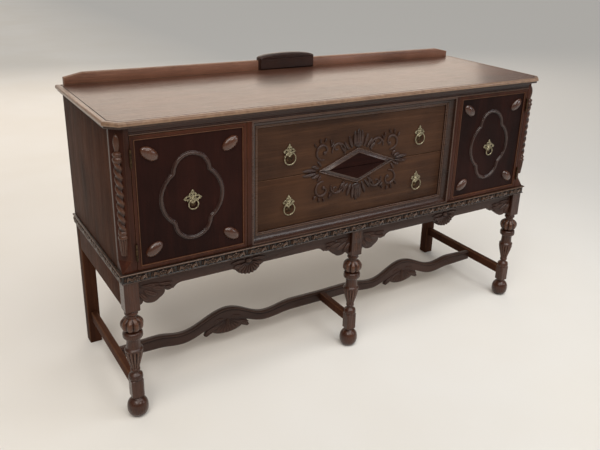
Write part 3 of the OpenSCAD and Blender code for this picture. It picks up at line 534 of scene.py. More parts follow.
def finish_tree(tree, geometry, material, out):
    """Realize Instances and Set Material, because the export drops instances."""
    real = tree.nodes.new("GeometryNodeRealizeInstances")
    paint = tree.nodes.new("GeometryNodeSetMaterial")
    paint.inputs["Material"].default_value = material
    tree.links.new(geometry, real.inputs["Geometry"])
    tree.links.new(real.outputs["Geometry"], paint.inputs["Geometry"])
    tree.links.new(paint.outputs["Geometry"], out.inputs["Geometry"])


def grown(name, tree, start_mesh, **values):
    """Runs a tree on a mesh and returns the result as a plain mesh."""
    host = bpy.data.objects.new(name, start_mesh)
    scene.collection.objects.link(host)
    modifier = host.modifiers.new("grow", "NODES")
    modifier.node_group = tree
    for item in tree.interface.items_tree:
        title = item.name.replace(" ", "_")
        if item.in_out == "INPUT" and title in values:
            modifier[item.identifier] = values[title]
    bpy.context.view_layer.update()
    seen = host.evaluated_get(bpy.context.evaluated_depsgraph_get())
    mesh = bpy.data.meshes.new_from_object(seen)
    host.modifiers.remove(modifier)
    bpy.data.objects.remove(host)
    return mesh


# %% The rope twist tree
FLOAT, INT, VECTOR = "NodeSocketFloat", "NodeSocketInt", "NodeSocketVector"
ROPE_R = 0.0106
rope, given, out = node_tree("rope_twist", Radius=(FLOAT, ROPE_R), Lobe=(FLOAT, 0.0017),
                             Strands=(FLOAT, 2.0), Turns=(FLOAT, 4.0),
                             Foot=(VECTOR, (0, 0, 0)), Head=(VECTOR, (0, 0, 1)))


g = given.outputs
line = wired(rope, "GeometryNodeCurvePrimitiveLine", Start=g["Foot"], End=g["Head"])
line = wired(rope, "GeometryNodeResampleCurve", Curve=line, Count=150)
along = wired(rope, "GeometryNodeSplineParameter")
tilt = calc(rope, "MULTIPLY", calc(rope, "MULTIPLY", along, g["Turns"]), math.tau)
line = wired(rope, "GeometryNodeSetCurveTilt", Curve=line, Tilt=tilt)
ring = wired(rope, "GeometryNodeCurvePrimitiveCircle", Resolution=40, Radius=g["Radius"])
share = wired(rope, "GeometryNodeSplineParameter")
angle = calc(rope, "MULTIPLY", calc(rope, "MULTIPLY", share, math.tau), g["Strands"])
lobe = calc(rope, "MULTIPLY", calc(rope, "COSINE", angle), g["Lobe"])
spot = wired(rope, "GeometryNodeInputPosition")
outward = wired(rope, "ShaderNodeVectorMath", {"operation": "NORMALIZE"}, _0=spot)
push = wired(rope, "ShaderNodeVectorMath", {"operation": "SCALE"}, _0=outward, Scale=lobe)
ring = wired(rope, "GeometryNodeSetPosition", Geometry=ring, Offset=push)
tube = wired(rope, "GeometryNodeCurveToMesh", Curve=line,
             **{"Profile Curve": ring, "Fill Caps": True})
finish_tree(rope, tube, turned_wood, out)
print("rope tree:", len(rope.nodes), "nodes")


# %% Turned work
def turned(shape, outline, x, y, sectors=40, lobes=None, rise=0.3):
    """An outline of (height, radius) turned about an upright axis.
    lobes(z, angle) scales the radius and gives how far the point stands out."""
    rows, levels = [], []
    for z, r in outline:
        row, marks = [], []
        for k in range(sectors):
            a = math.tau * k / sectors
            swell, mark = lobes(z, a) if lobes else (1.0, rise)
            row.append((x + r * swell * math.cos(a), y + r * swell * math.sin(a), z))
            marks.append(mark)
        rows.append(row)
        levels.append(marks)
    return shape.grid(rows, levels, False, True)


def smooth_outline(points, n=4):
    """A turned outline with extra points between its stations, eased by a spline."""
    made = []
    points = [points[0]] + list(points) + [points[-1]]
    for p0, p1, p2, p3 in zip(points, points[1:], points[2:], points[3:]):
        for t in np.linspace(0, 1, n, endpoint=False):
            made.append(tuple(0.5 * (2 * b + (c - a) * t + (2 * a - 5 * b + 4 * c - d) * t * t
                              + (3 * b - a - 3 * c + d) * t ** 3)
                              for a, b, c, d in zip(p0, p1, p2, p3)))
    return made + [points[-1]]


# %% The columns
COLUMN_X, COLUMN_Y = CASE_X - 15, FRONT_Y + 15
SHAFT_FOOT, SHAFT_HEAD = 0.623, 0.826
base = smooth_outline([(550, 8.6), (560, 10), (580, 12), (600, 13.2)])
rings = smooth_outline([(600, 11), (602, 14.2), (607, 14.5), (611, 12.6), (613, 11.2), (616, 13),
                        (621, 13), (625, 10.4)])
necks = smooth_outline([(824, 10.4), (828, 12.8), (833, 14.4), (838, 12.6), (841, 10.6),
                        (846, 13.2), (851, 12.6), (855, 7)])
drop = smooth_outline([(854, 5.4), (862, 7.4), (876, 9.5), (888, 9), (898, 6.4), (904, 2.4),
                       (905.5, 0.1)])


def reeds(count, depth):
    """Rounded upright reeds with sharp valleys between them."""
    def lobes(z, a):
        # Valleys get a low rise, which the woods paint dark as shade.
        crown = abs(math.cos(count * a / 2)) ** 0.6
        return 1 - depth * (1 - crown), 0.1 + 0.75 * crown
    return lobes


for side in (-1, 1):
    column = Shape()
    turned(column, base, side * COLUMN_X, COLUMN_Y, 72, reeds(12, 0.16))
    turned(column, rings, side * COLUMN_X, COLUMN_Y, rise=0.75)
    turned(column, necks, side * COLUMN_X, COLUMN_Y, rise=0.75)
    turned(column, drop, side * COLUMN_X, COLUMN_Y, rise=0.72)
    mesh = column.mesh("column_turnings", turned_wood)
    title = "left" if side < 0 else "right"
    place_piece("column_turnings_" + title, mesh, "case", "carved_walnut", "corner_columns")
    foot = (side * COLUMN_X * MM, COLUMN_Y * MM, SHAFT_FOOT)
    head = (side * COLUMN_X * MM, COLUMN_Y * MM, SHAFT_HEAD)
    mesh = grown("shaft", rope, bpy.data.meshes.new("start"), Foot=foot, Head=head,
                 Turns=4.0 * side)
    place = np.array([v.co for v in mesh.vertices])
    reach = np.hypot(place[:, 0] - foot[0], place[:, 1] - foot[1])
    mark = mesh.attributes.new("rise", "FLOAT", "POINT")
    # Points in the twist's grooves get a rise near 0, which paints them dark as shade.
    stands_out = np.clip((reach / ROPE_R - 0.78) * 2.4, 0, 1)
    mark.data.foreach_set("value", stands_out.astype(np.float32))
    mesh.shade_smooth()
    place_piece("rope_shaft_" + title, mesh, "case", "carved_walnut")

# %% [markdown]
# ## Carved leaves
# Much of the carving is leaves: pointed, crowned, with a sunk midrib. Each could be
# sculpted by hand, but a leaf has a rule: its width swells and closes from base to
# tip, its height is a dome, and the rib is a groove down the middle. The leaf bends
# along an arc, so the same rule gives straight darts and curled scrolls.

# %% One leaf
def leaf(shape, put, x, z, heading, length, width, height, bend=0.0, n=9, m=7, sunk=1.0,
         full=0.75):
    """A leaf from (x, z) towards a heading in degrees, that turns by bend on its way."""
    rows, marks = [], []
    spot = np.array([x, z], float)
    for i in range(n + 1):
        s = i / n
        turn = math.radians(heading + bend * s)
        ahead = np.array([math.cos(turn), math.sin(turn)])
        side = np.array([-ahead[1], ahead[0]])
        half = width / 2 * max(math.sin(math.pi * min(1, s * 0.93 + 0.07)) ** full, 0.02)
        row, mark = [], []
        for j in range(m + 1):
            t = 2 * j / m - 1
            crown = math.sqrt(max(0.0, 1 - t * t)) * (1 - 0.45 * math.exp(-(t / 0.2) ** 2))
            swell = min(1, 4 * s + 0.25, 3 * (1 - s) + 0.12)
            edge = j in (0, m) or i in (0, n)
            h = -sunk if edge else height * crown * swell
            row.append(put(*(spot + side * half * t), h))
            # Edges get rise 0, which paints a dark line of shade where the leaf meets the ground.
            mark.append(0.0 if edge else 0.2 + 0.8 * crown * swell)
        rows.append(row)
        marks.append(mark)
        spot = spot + ahead * length / n
    return shape.grid(rows, marks)


def dome(shape, put, x, z, rx, rz, height, tilt=0.0, n=8, sectors=28, mark=(0.2, 1.0), sunk=1.0):
    """An oval button, flat behind, crowned in front."""
    rows, marks = [], []
    c, s = math.cos(math.radians(tilt)), math.sin(math.radians(tilt))
    for i in range(n + 2):
        a = math.pi / 2 * max(0, i - 1) / n
        size = math.cos(a) if i else 1.0
        h = -sunk if i == 0 else height * math.sin(a)
        row = []
        for k in range(sectors):
            t = math.tau * k / sectors
            u, v = rx * size * math.cos(t), rz * size * math.sin(t)
            row.append(put(x + u * c - v * s, z + u * s + v * c, h))
        rows.append(row)
        # The base gets the low end of mark, which the woods with hollow shade paint darker as shade
        # round the button.
        marks.append([mark[0] + (mark[1] - mark[0]) * math.sin(a)] * sectors)
    return shape.grid(rows, marks, False, True)


def fan(shape, put, x, z, rx, rz, height, ribs, start=180, stop=360, n=7, hub=0.12, sunk=1.0):
    """Ribs that spread from a hub, each rounded, with a scalloped rim."""
    count = ribs * 6
    rows, marks = [], []
    for i in range(n + 2):
        s = min(i / n, 1.0)
        row, mark = [], []
        for k in range(count + 1):
            share = k / count
            a = math.radians(start + (stop - start) * share)
            rib = abs(math.sin(math.pi * ribs * share)) ** 0.55
            reach = (hub + (1 - hub) * s) * (0.9 + 0.1 * rib)
            rim = i > n or k in (0, count)
            lift = height * (0.35 + 0.65 * rib) * (0.55 + 0.45 * math.sin(math.pi * min(s, 0.8)))
            row.append(put(x + rx * reach * math.cos(a), z + rz * reach * math.sin(a),
                           -sunk if rim or i == 0 else lift))
            # The rim, hub and ends get rise 0, painted dark as shade where the fan meets the
            # ground.
            mark.append(0.0 if rim or i == 0 else 0.1 + 0.9 * rib * (0.4 + 0.6 * s))
        rows.append(row)
        marks.append(mark)
    return shape.grid(rows, marks)


# %% [markdown]
# ## The carved moulding
# A moulding runs round the foot of the case, with one carved unit again and again:
# two leaves that part round a small fan, and a V between neighbours. The plain
# moulding is a strip. The unit is carved once, and a node tree repeats it along a
# line, with small random differences in size, as hand carving has.

# %% The plain moulding
CARVED_Z = edges("carved_moulding_front")[4]
foot_path = [(-CASE_X, REAR_Y), (-CASE_X, FRONT_Y), (CASE_X, FRONT_Y), (CASE_X, REAR_Y)]
foot_profile = [(-2, 0), (4.4, 0), (5.8, 1.2), (6, 3), (4.6, 4), (3.4, 6), (3.6, 14), (3.4, 23),
                (4.6, 25), (6.6, 26), (7.8, 27.4), (8, 28.8), (7, 30.3), (5.4, 31), (-2, 31)]
# Painted shade: the recessed band behind the carved units gets a rise near 0 and goes near black.
foot_rise = [0.1, 0.5, 0.75, 0.6, 0.1, 0.02, 0.02, 0.02, 0.1, 0.6, 0.95, 1.0, 0.8, 0.4, 0]
moulding = strip(Shape(), foot_path, [(a, CARVED_Z + z) for a, z in foot_profile], level,
                 False, 1.0, foot_rise)
place_piece("foot_moulding", moulding.mesh("foot_moulding", carved_wood), "case",
            "carved_walnut", "carved_moulding_front", "carved_moulding_sides")

# %% One carved unit, about its own middle
UNIT_MID = CARVED_Z + 14.5
unit_shape = Shape()
at_face = facing(-3.4)
fan(unit_shape, at_face, 0, 7, 12, 15, 4.2, 5, 185, 355, n=4)
dome(unit_shape, at_face, 0, 6.5, 4.5, 3.4, 5.2, n=3, sectors=12)
for side in (-1, 1):
    heading = 90 - side * 42
    leaf(unit_shape, at_face, side * 8, -10, heading, 27, 11, 5.4, -side * 38, 7, 6)
    leaf(unit_shape, at_face, side * 25, 9.5, 270 + side * 8, 22, 8, 4.6, side * 20, 6, 5)
    leaf(unit_shape, at_face, side * 37, -9, 90 + side * 14, 20, 5, 4.2, 0, 5, 4)
carved_unit = unit_shape.mesh("carved_unit", carved_wood)
print("carved unit:", len(carved_unit.polygons), "faces")

# %% The tree that repeats it
row, given, out = node_tree("carved_row", Count=(INT, 21), Start=(VECTOR, (0, 0, 0)),
                            Step=(VECTOR, (0.078, 0, 0)), Turn=(FLOAT, 0.0),
                            Uneven=(FLOAT, 0.05), Seed=(INT, 7))
g = given.outputs
points = wired(row, "GeometryNodeMeshLine", Count=g["Count"], Offset=g["Step"],
               **{"Start Location": g["Start"]})
face_way = wired(row, "ShaderNodeCombineXYZ", Z=g["Turn"])
size = add(row, "FunctionNodeRandomValue", {"data_type": "FLOAT"})
smallest, largest = [s for s in size.inputs if s.enabled and s.name in ("Min", "Max")]
row.links.new(calc(row, "SUBTRACT", 1.0, g["Uneven"]), smallest)
largest.default_value = 1.0
row.links.new(g["Seed"], size.inputs["Seed"])
copies = wired(row, "GeometryNodeInstanceOnPoints", Points=points, Instance=g["Geometry"],
               Rotation=face_way, Scale=[s for s in size.outputs if s.enabled][0])
finish_tree(row, copies, carved_wood, out)

# %% Three runs of it
FRONT_UNITS, SIDE_UNITS = 21, 7
pitch = 2 * CASE_X / FRONT_UNITS
side_pitch = (REAR_Y - FRONT_Y) / SIDE_UNITS
runs = {
    "front": (FRONT_UNITS, (-CASE_X + pitch / 2, FRONT_Y), (pitch, 0), 0.0),
    "left": (SIDE_UNITS, (-CASE_X, REAR_Y - side_pitch / 2), (0, -side_pitch), -math.pi / 2),
    "right": (SIDE_UNITS, (CASE_X, FRONT_Y + side_pitch / 2), (0, side_pitch), math.pi / 2),
}
for title, (count, start, step, turn) in runs.items():
    mesh = grown(title, row, carved_unit, Count=count, Turn=turn,
                 Start=(start[0] * MM, start[1] * MM, UNIT_MID * MM),
                 Step=(step[0] * MM, step[1] * MM, 0.0))
    place_piece("carved_leaves_" + title, mesh, "case", "carved_walnut")

# %% [markdown]
# ## The front legs
# Each front leg is turned from one piece: ball foot, chamfered block, grooved cap,
# a reeded vase, a collar, a gadrooned bulb and a square block on top. A lathe's
# outline gives the round parts. Reeds and gadroons are the same outline with a
# radius that swells and sinks as it goes round.

# %% Outlines of the turned parts
ball = smooth_outline([(0, 10), (0.6, 16), (4, 23), (14, 30), (30, 32.5), (46, 30), (57, 22.5),
                       (62, 16), (65, 14.5), (70, 17)])
cap = smooth_outline([(130, 18), (132, 21), (137, 22), (140, 21.6), (141, 20.4), (142, 21.6),
                      (146, 20.6), (147, 19.2), (148, 20), (152, 15), (155, 12.4)])
stem = smooth_outline([(151, 12.2), (156, 11.8), (161, 12.5), (163, 14.4), (167, 14.2),
                       (169, 12.6)])
vase = smooth_outline([(166, 12.4), (178, 14.8), (195, 19.5), (212, 24), (226, 26.6),
                       (234, 26.9)], 5)
shoulder = smooth_outline([(233, 26.9), (238, 27.2), (241, 25), (243.5, 22.4), (247, 21.6),
                           (260, 20.4), (271, 20.8), (276, 22)])
collar = smooth_outline([(275.5, 20), (276.5, 25), (281, 29.2), (288, 30), (295, 29.2),
                         (299.5, 25), (300.5, 19)])
bulb = smooth_outline([(300, 15), (302, 20), (306, 27), (313, 32.4), (322, 34.5), (331, 33.2),
                       (338, 28.6), (343, 22.5), (346, 18)], 5)
top_ring = smooth_outline([(345, 16.4), (352, 15.6), (355.5, 17), (358, 20), (362, 20),
                           (366.5, 18), (370.5, 15)])


# %% Square blocks with chamfers
def block(shape, x, y, half, z0, z1, chamfer, ease_z, rise=0.3):
    """A square post with chamfered arrises that run out at both ends."""
    rows, marks = [], []
    for z, inset in ((z0, ease_z), (z0 + ease_z, 0), (z1 - ease_z, 0), (z1, ease_z)):
        h, c = half - inset, chamfer
        row = [(x + sx * a, y + sy * b, z) for sx, sy, a, b in (
            (1, -1, h - c, h), (1, -1, h, h - c), (1, 1, h, h - c), (1, 1, h - c, h),
            (-1, 1, h - c, h), (-1, 1, h, h - c), (-1, -1, h, h - c), (-1, -1, h - c, h))]
        rows.append(row)
        marks.append([rise + 0.35] * 8)
    return shape.grid(rows, marks, False, True)


# %% Build the three legs
# Half widths of a leg: its ball foot, its low block and its top block.
BALL_HALF, LOW_HALF, TOP_HALF = 32.5, 19, 22
LEG_Y = edges("leg_front_centre")[2] + BALL_HALF
LEG_X = (edges("leg_front_right")[0] + edges("leg_front_right")[1]) / 2
REEDS, GADROONS, BULB_Z = 14, 9, 323


def gadroons(z, a):
    # Valleys get a low rise, which the wood paints dark as shade.
    crown = abs(math.cos(GADROONS * a / 2)) ** 0.7
    near = max(0.0, 1 - ((z - BULB_Z) / 25) ** 4)
    return 1 - 0.17 * near * (1 - crown), 0.08 + 0.9 * crown


for title, x in (("left", -LEG_X), ("centre", 0.0), ("right", LEG_X)):
    leg = Shape()
    for part in (ball, cap, stem, shoulder, collar, top_ring):
        turned(leg, part, x, LEG_Y, 44, rise=0.52)
    turned(leg, vase, x, LEG_Y, 112, reeds(REEDS, 0.19))
    turned(leg, bulb, x, LEG_Y, 108, gadroons)
    block(leg, x, LEG_Y, LOW_HALF, 68, 132, 4.5, 3, 0.2)
    block(leg, x, LEG_Y, TOP_HALF, 370, BASE_Z + 1, 1.6, 2, 0.12)
    if title == "centre":
        for flute in (-11, -3.7, 3.7, 11):
            for k in (0, 1):
                leaf(leg, facing(LEG_Y - TOP_HALF + 0.4), x + flute, 384 + 44 * k, 90, 40, 6,
                     1.6, n=8, m=6, full=0.3)
    mesh = leg.mesh("turned_leg", turned_wood, 40)
    place_piece("turned_leg_" + title, mesh, "case", "carved_walnut", "leg_front_" + title)

# %% [markdown]
# ## The front aprons
# Between the legs hang two shallow aprons with carved brackets beside each leg and a
# fan pendant in the middle. The boards are plates cut to the same outline as their
# solids, and the carving is leaves and fans laid on them.

# %% The apron boards
APRON_Y, APRON_T = -244, 22
APRON_Z = BASE_Z - 54
BRACKET, PENDANT_X, PENDANT = 136, 416, 56


def bracket_edge():
    """The lower edge beside a leg, from the leg outwards."""
    z = APRON_Z
    edge = arc(0, z - 33, 14, 12, -90, 0, 6) + arc(40, z - 28, 27, 18, 200, 300, 9)
    edge += arc(50, z - 12, 32, 26, -60, -8, 6) + [(82, z - 11)]
    edge += arc(93, z - 11, 11, 6, 180, 330, 8)
    return edge + arc(BRACKET, z - 30, 32, 30, 150, 90, 8)


def pendant_edge():
    """The fan's scalloped lower edge, about its own middle."""
    edge, lobes = [(-PENDANT, APRON_Z)], 9
    for k in range(lobes):
        for t in np.linspace(0.1, 0.9, 5):
            a = math.radians(196 + 148 * (k + t) / lobes)
            reach = 0.93 + 0.07 * math.sin(math.pi * t)
            edge.append((44 * reach * math.cos(a), APRON_Z + 28 * reach * math.sin(a)))
    return edge + [(PENDANT, APRON_Z)]


def shifted(points, dx, flip=False):
    return [(dx - x, z) for x, z in reversed(points)] if flip else [(dx + x, z) for x, z in points]


X_IN, X_OUT = TOP_HALF, LEG_X - TOP_HALF
for side in (-1, 1):
    outline = shifted(bracket_edge(), -X_OUT) + shifted(pendant_edge(), -PENDANT_X)
    outline += shifted(bracket_edge(), -X_IN, True) + [(-X_IN, BASE_Z), (-X_OUT, BASE_Z)]
    if side > 0:
        outline = shifted(outline, 0, True)
    apron = Shape()
    plate(apron, outline, [(0.8, 0), (0, 0.8), (0, APRON_T - 1.6), (0.5, APRON_T - 0.5),
          (1.6, APRON_T)], facing(APRON_Y + APRON_T), [0.4, 0.4, 0.5, 0.7, 0.5])
    put = facing(APRON_Y)
    fan(apron, put, side * PENDANT_X, APRON_Z + 20, 46, 46, 7, 9, 196, 344, n=8, hub=0.2)
    dome(apron, put, side * PENDANT_X, APRON_Z + 20, 12, 9, 8.5, sectors=24)
    for k in (-1, 1):
        leaf(apron, put, side * PENDANT_X + k * 8, APRON_Z + 22, 90 - k * 88, 58, 15, 5.5, -k * 14)
        leaf(apron, put, side * PENDANT_X + k * 26, APRON_Z + 12, 90 - k * 118, 30, 12, 5, k * 24)
    for leg_x, away in ((side * X_OUT, -side), (side * X_IN, side)):
        for reach, drop_z, heading, length, width, bend in (
                (2, -2, -62, 46, 17, 30), (16, 4, -48, 54, 17, 42), (38, 8, -30, 54, 15, 40),
                (62, 12, -18, 46, 12, 34), (4, 16, -6, 66, 13, 10), (80, -2, -28, 24, 9, 60)):
            leaf(apron, put, leg_x + away * reach, APRON_Z + drop_z,
                 heading if away > 0 else 180 - heading, length, width, 5.5, bend * away, 10, 8)
    title = "left" if side < 0 else "right"
    place_piece("carved_apron_" + title, apron.mesh("carved_apron", apron_wood, 50), "case",
                "carved_walnut", "apron_front_" + title)

# %% [markdown]
# ## The long stretcher
# A wavy stretcher ties the end frames together. It rises to a crest on each side of
# the middle, with a bead along its top edge and a carved fan under each crest. Its
# section is the same everywhere except for its height, so it is a grid of sections,
# one for each step along its length.

# %% The wavy rail
STRETCHER_Y = sum(edges("stretcher_long")[2:4]) / 2
STRETCHER_X = edges("stretcher_long")[1]
STRETCHER_Z = 109
WAVE = [(0, 17, -24), (0.17, 18, -23), (0.31, 3, -33), (0.51, 56, 12), (0.73, 4, -38),
        (0.84, 17, -28), (1, 12, -25)]


def wave(share, k):
    """Height of the top (1) or bottom (2) edge at a share of the half length."""
    for a, b in zip(WAVE, WAVE[1:]):
        if share <= b[0]:
            t = (share - a[0]) / (b[0] - a[0])
            return STRETCHER_Z + a[k] + (b[k] - a[k]) * (1 - math.cos(math.pi * t)) / 2
    return STRETCHER_Z + WAVE[-1][k]


top_part = [(10.2, -11), (8.6, -10.2), (8.6, -8.6), (10, -7.6), (11, -5.4), (11, -3.4),
            (9.8, -1.2), (6.5, -0.1), (0, 0.4)]
# The groove under the top bead gets a low rise, which paints shade in it.
top_marks = [0.5, 0.1, 0.1, 0.5, 0.9, 0.95, 0.9, 0.6, 0.5]
rows, marks = [], []
for share in np.linspace(-1, 1, 161):
    top, low = wave(abs(share), 1), wave(abs(share), 2)
    half = [(y, top + z) for y, z in top_part]
    half = [(8.6, low), (9.8, low + 1.4), (9.8, low + 4)] + half
    ring = [(-y, z) for y, z in half] + [(y, z) for y, z in reversed(half[:-1])]
    rows.append([(share * STRETCHER_X, STRETCHER_Y + y, z) for y, z in ring])
    one = [0.4, 0.5, 0.5] + top_marks
    marks.append(one + list(reversed(one[:-1])))
stretcher = Shape().grid(rows, marks, False, True)

# %% The fans under its crests
FAN_X = 0.51 * STRETCHER_X
fan_board = [(-88, -36), (-80, -40)] + arc(0, -20, 62, 24, 204, 336, 30) + [
    (80, -40), (88, -36), (70, 6), (0, 26), (-70, 6)]
for side in (-1, 1):
    outline = [(side * FAN_X + x, STRETCHER_Z + z) for x, z in fan_board]
    plate(stretcher, outline, [(1, 0), (0, 1), (0, 14), (1, 15)], facing(STRETCHER_Y + 7.5), 0.45)
    for face in (-1, 1):
        put = lambda x, z, h, face=face: (x, STRETCHER_Y + face * (7 + h), z)
        fan(stretcher, put, side * FAN_X, STRETCHER_Z + 16, 60, 58, 4.4, 9, 206, 334, n=8,
            hub=0.2)
        leaf(stretcher, put, side * FAN_X, STRETCHER_Z + 20, 270, 62, 17, 7.5, 0, 10, 8)
        for k in (-1, 1):
            leaf(stretcher, put, side * FAN_X + k * 10, STRETCHER_Z + 18, 90 + k * -84, 52, 12, 6,
                 -k * 40)
            leaf(stretcher, put, side * FAN_X + k * 42, STRETCHER_Z - 4, 90 + k * -122, 48, 13, 6,
                 k * 22)
place_piece("wavy_stretcher", stretcher.mesh("wavy_stretcher", apron_wood, 50), "case",
            "carved_walnut", "stretcher_long")

# %% [markdown]
# ## The doors
# Each door is a dark panel with a red-brown rim, a raised quatrefoil bead and four
# oval jewels. The rim and the bead are strips along closed paths. The quatrefoil's
# path is the outside of four overlapping circles, found by looking from the middle
# in every direction for the furthest circle.

# %% The quatrefoil path
DOOR_Y = edges("door_left_slab")[2]
LOBES = [((0, 75.25), 61), ((0, -75.25), 61), ((2, 0), 98), ((-2, 0), 98)]


def quatrefoil(n=288):
    path = []
    for k in range(n):
        look = (math.cos(math.tau * k / n), math.sin(math.tau * k / n))
        reach = 0.0
        for centre, r in LOBES:
            near = centre[0] * look[0] + centre[1] * look[1]
            room = r * r - centre[0] ** 2 - centre[1] ** 2 + near * near
            if room >= 0:
                reach = max(reach, near + math.sqrt(room))
        path.append((reach * look[0], reach * look[1]))
    return path


bead_profile = [(-13, -0.6), (-13, 0.7), (-12, 1.7), (-11.2, 2.0)]
bead_profile += [(-6.5 + 5 * math.cos(t), 1.6 + 4.4 * math.sin(t))
                 for t in np.linspace(math.pi, 0, 9)]
bead_profile += [(-0.9, 1.6), (0, 0.9), (0, -0.6)]
bead_rise = [0, 0.2, 0.45, 0.2, 0.3, 0.6, 0.8, 0.95, 1, 0.95, 0.8, 0.6, 0.3, 0.4, 0.2, 0]

# %% Rims, beads and jewels on both doors
RIM_PROFILE = [(0, -0.5), (0, 2.8), (0.6, 3.7), (1.6, 4), (8.4, 4), (9, 3.4), (9.4, 2.2),
               (10.2, 2.0), (10.6, 2.9), (11.6, 3.6), (12.8, 3.4), (13.6, 2.2), (14, 0.6),
               (14, -0.5)]
RIM_RISE = [0, 0.5, 0.85, 0.6, 0.3, 0.7, 0.05, 0.05, 0.8, 1.0, 1.0, 0.8, 0.2, 0]
JEWEL_X, JEWEL_Z, JEWEL_TILT = 121, 143.25, 36
bead_wood = wood("bead_walnut",
                 [(0.008, 0.0033, 0.0026), (0.017, 0.006, 0.0042), (0.034, 0.011, 0.0068)],
                 "z", gloss=0.2, coat=0.6, worn=(0.055, 0.022, 0.013), wear=0.35, shine=0.2)
for title, side in (("left", -1), ("right", 1)):
    body = "door_" + title
    x0, x1, _, _, z0, z1 = edges(body + "_slab")
    cx, cz = (x0 + x1) / 2, (z0 + z1) / 2
    put = facing(DOOR_Y)
    outline = [(x0, z0), (x1, z0), (x1, z1), (x0, z1)]
    rim = strip(Shape(), outline, [(-a, h) for a, h in RIM_PROFILE], put, True, 1.0, RIM_RISE)
    place_piece(body + "_frame", rim.mesh("door_frame", rim_wood), body, "door_moulding",
                body + "_rim")
    path = [(cx + x, cz + z) for x, z in quatrefoil()]
    ring = strip(Shape(), path, bead_profile, put, True, 1.0, bead_rise)
    place_piece(body + "_bead", ring.mesh("quatrefoil_bead", bead_wood, 45), body,
                "door_moulding", body + "_quatrefoil")
    jewels = Shape()
    for sx in (-1, 1):
        for sz in (-1, 1):
            dome(jewels, put, cx + sx * JEWEL_X, cz + sz * JEWEL_Z, 29, 17.5, 12,
                 sx * sz * JEWEL_TILT, n=10, sectors=48)
    place_piece(body + "_ovals", jewels.mesh("jewels", jewel_wood), body, "door_moulding",
                body + "_jewels")

# %% [markdown]
# ## The drawer carving
# A long diamond, a raised flat field with a bevel all round, lies across both
# drawers, with scrolls, a leafy crest above and its mirror below. Each drawer carries
# its own half, so the whole carving is made once and cut along the line between the
# drawers, and the cut faces are closed.

# %% Scrolls that taper
DRAWER_Y = edges("upper_drawer_front")[2]
SPLIT_Z = (edges("upper_drawer_front")[4] + edges("lower_drawer_front")[5]) / 2
DIAMOND_X, DIAMOND_Z, DIAMOND_W = 160, 62, 15
HALF_GAP = 1.0
on_drawer = facing(DRAWER_Y)
scroll_round = [(-1, -0.16)] + [(-math.cos(t), 0.95 * math.sin(t))
                                for t in np.linspace(0.2, math.pi - 0.2, 7)] + [(1, -0.16)]


def scroll(shape, points, thick, height=1.35):
    """A rounded strand along points, thick in the middle of its run."""
    path = [(x, SPLIT_Z + z) for x, z in points]
    shape_profile = [(a, h * height) for a, h in scroll_round]
    # Both edges get rise 0, painted dark as shade where the strand meets the ground.
    marks = [0] + [0.2 + 0.8 * math.sin(t) for t in np.linspace(0.2, math.pi - 0.2, 7)] + [0]
    return strip(shape, path, shape_profile, on_drawer, False, thick, marks)


def volute(cx, cz, r0, r1, a0, a1, n=40):
    """A spiral about a centre, whose radius goes from r0 to r1."""
    made = []
    for k in range(n + 1):
        s = k / n
        r = r0 + (r1 - r0) * s ** 1.6
        a = math.radians(a0 + (a1 - a0) * s)
        made.append((cx + r * math.cos(a), cz + r * math.sin(a)))
    return made


# %% The diamond and its scrolls
def diamond(inset=0.0):
    k = 1 - inset / (DIAMOND_Z * math.cos(math.atan(DIAMOND_Z / DIAMOND_X)))
    return [(-DIAMOND_X * k, SPLIT_Z), (0, SPLIT_Z - DIAMOND_Z * k), (DIAMOND_X * k, SPLIT_Z),
            (0, SPLIT_Z + DIAMOND_Z * k)]


def diamond_shapes():
    rim, field = Shape(), Shape()
    profile = [(0, -0.5), (0, 3.4), (-0.8, 4.5), (-2.1, 5), (-3.3, 4.5), (-4, 3.5), (-4.8, 4.1),
               (-13.6, 8.4), (-14.4, 8.9), (-15, 9), (-15, -0.5)]
    marks = [0, 0.4, 0.8, 1, 0.7, 0, 0.5, 0.6, 0.95, 0.8, 0]
    strip(rim, diamond(), profile, on_drawer, True, 1.0, marks)
    plate(field, diamond(DIAMOND_W - 1), [(0, -0.5), (0, 8.7)], on_drawer, 0.0)
    return rim, field


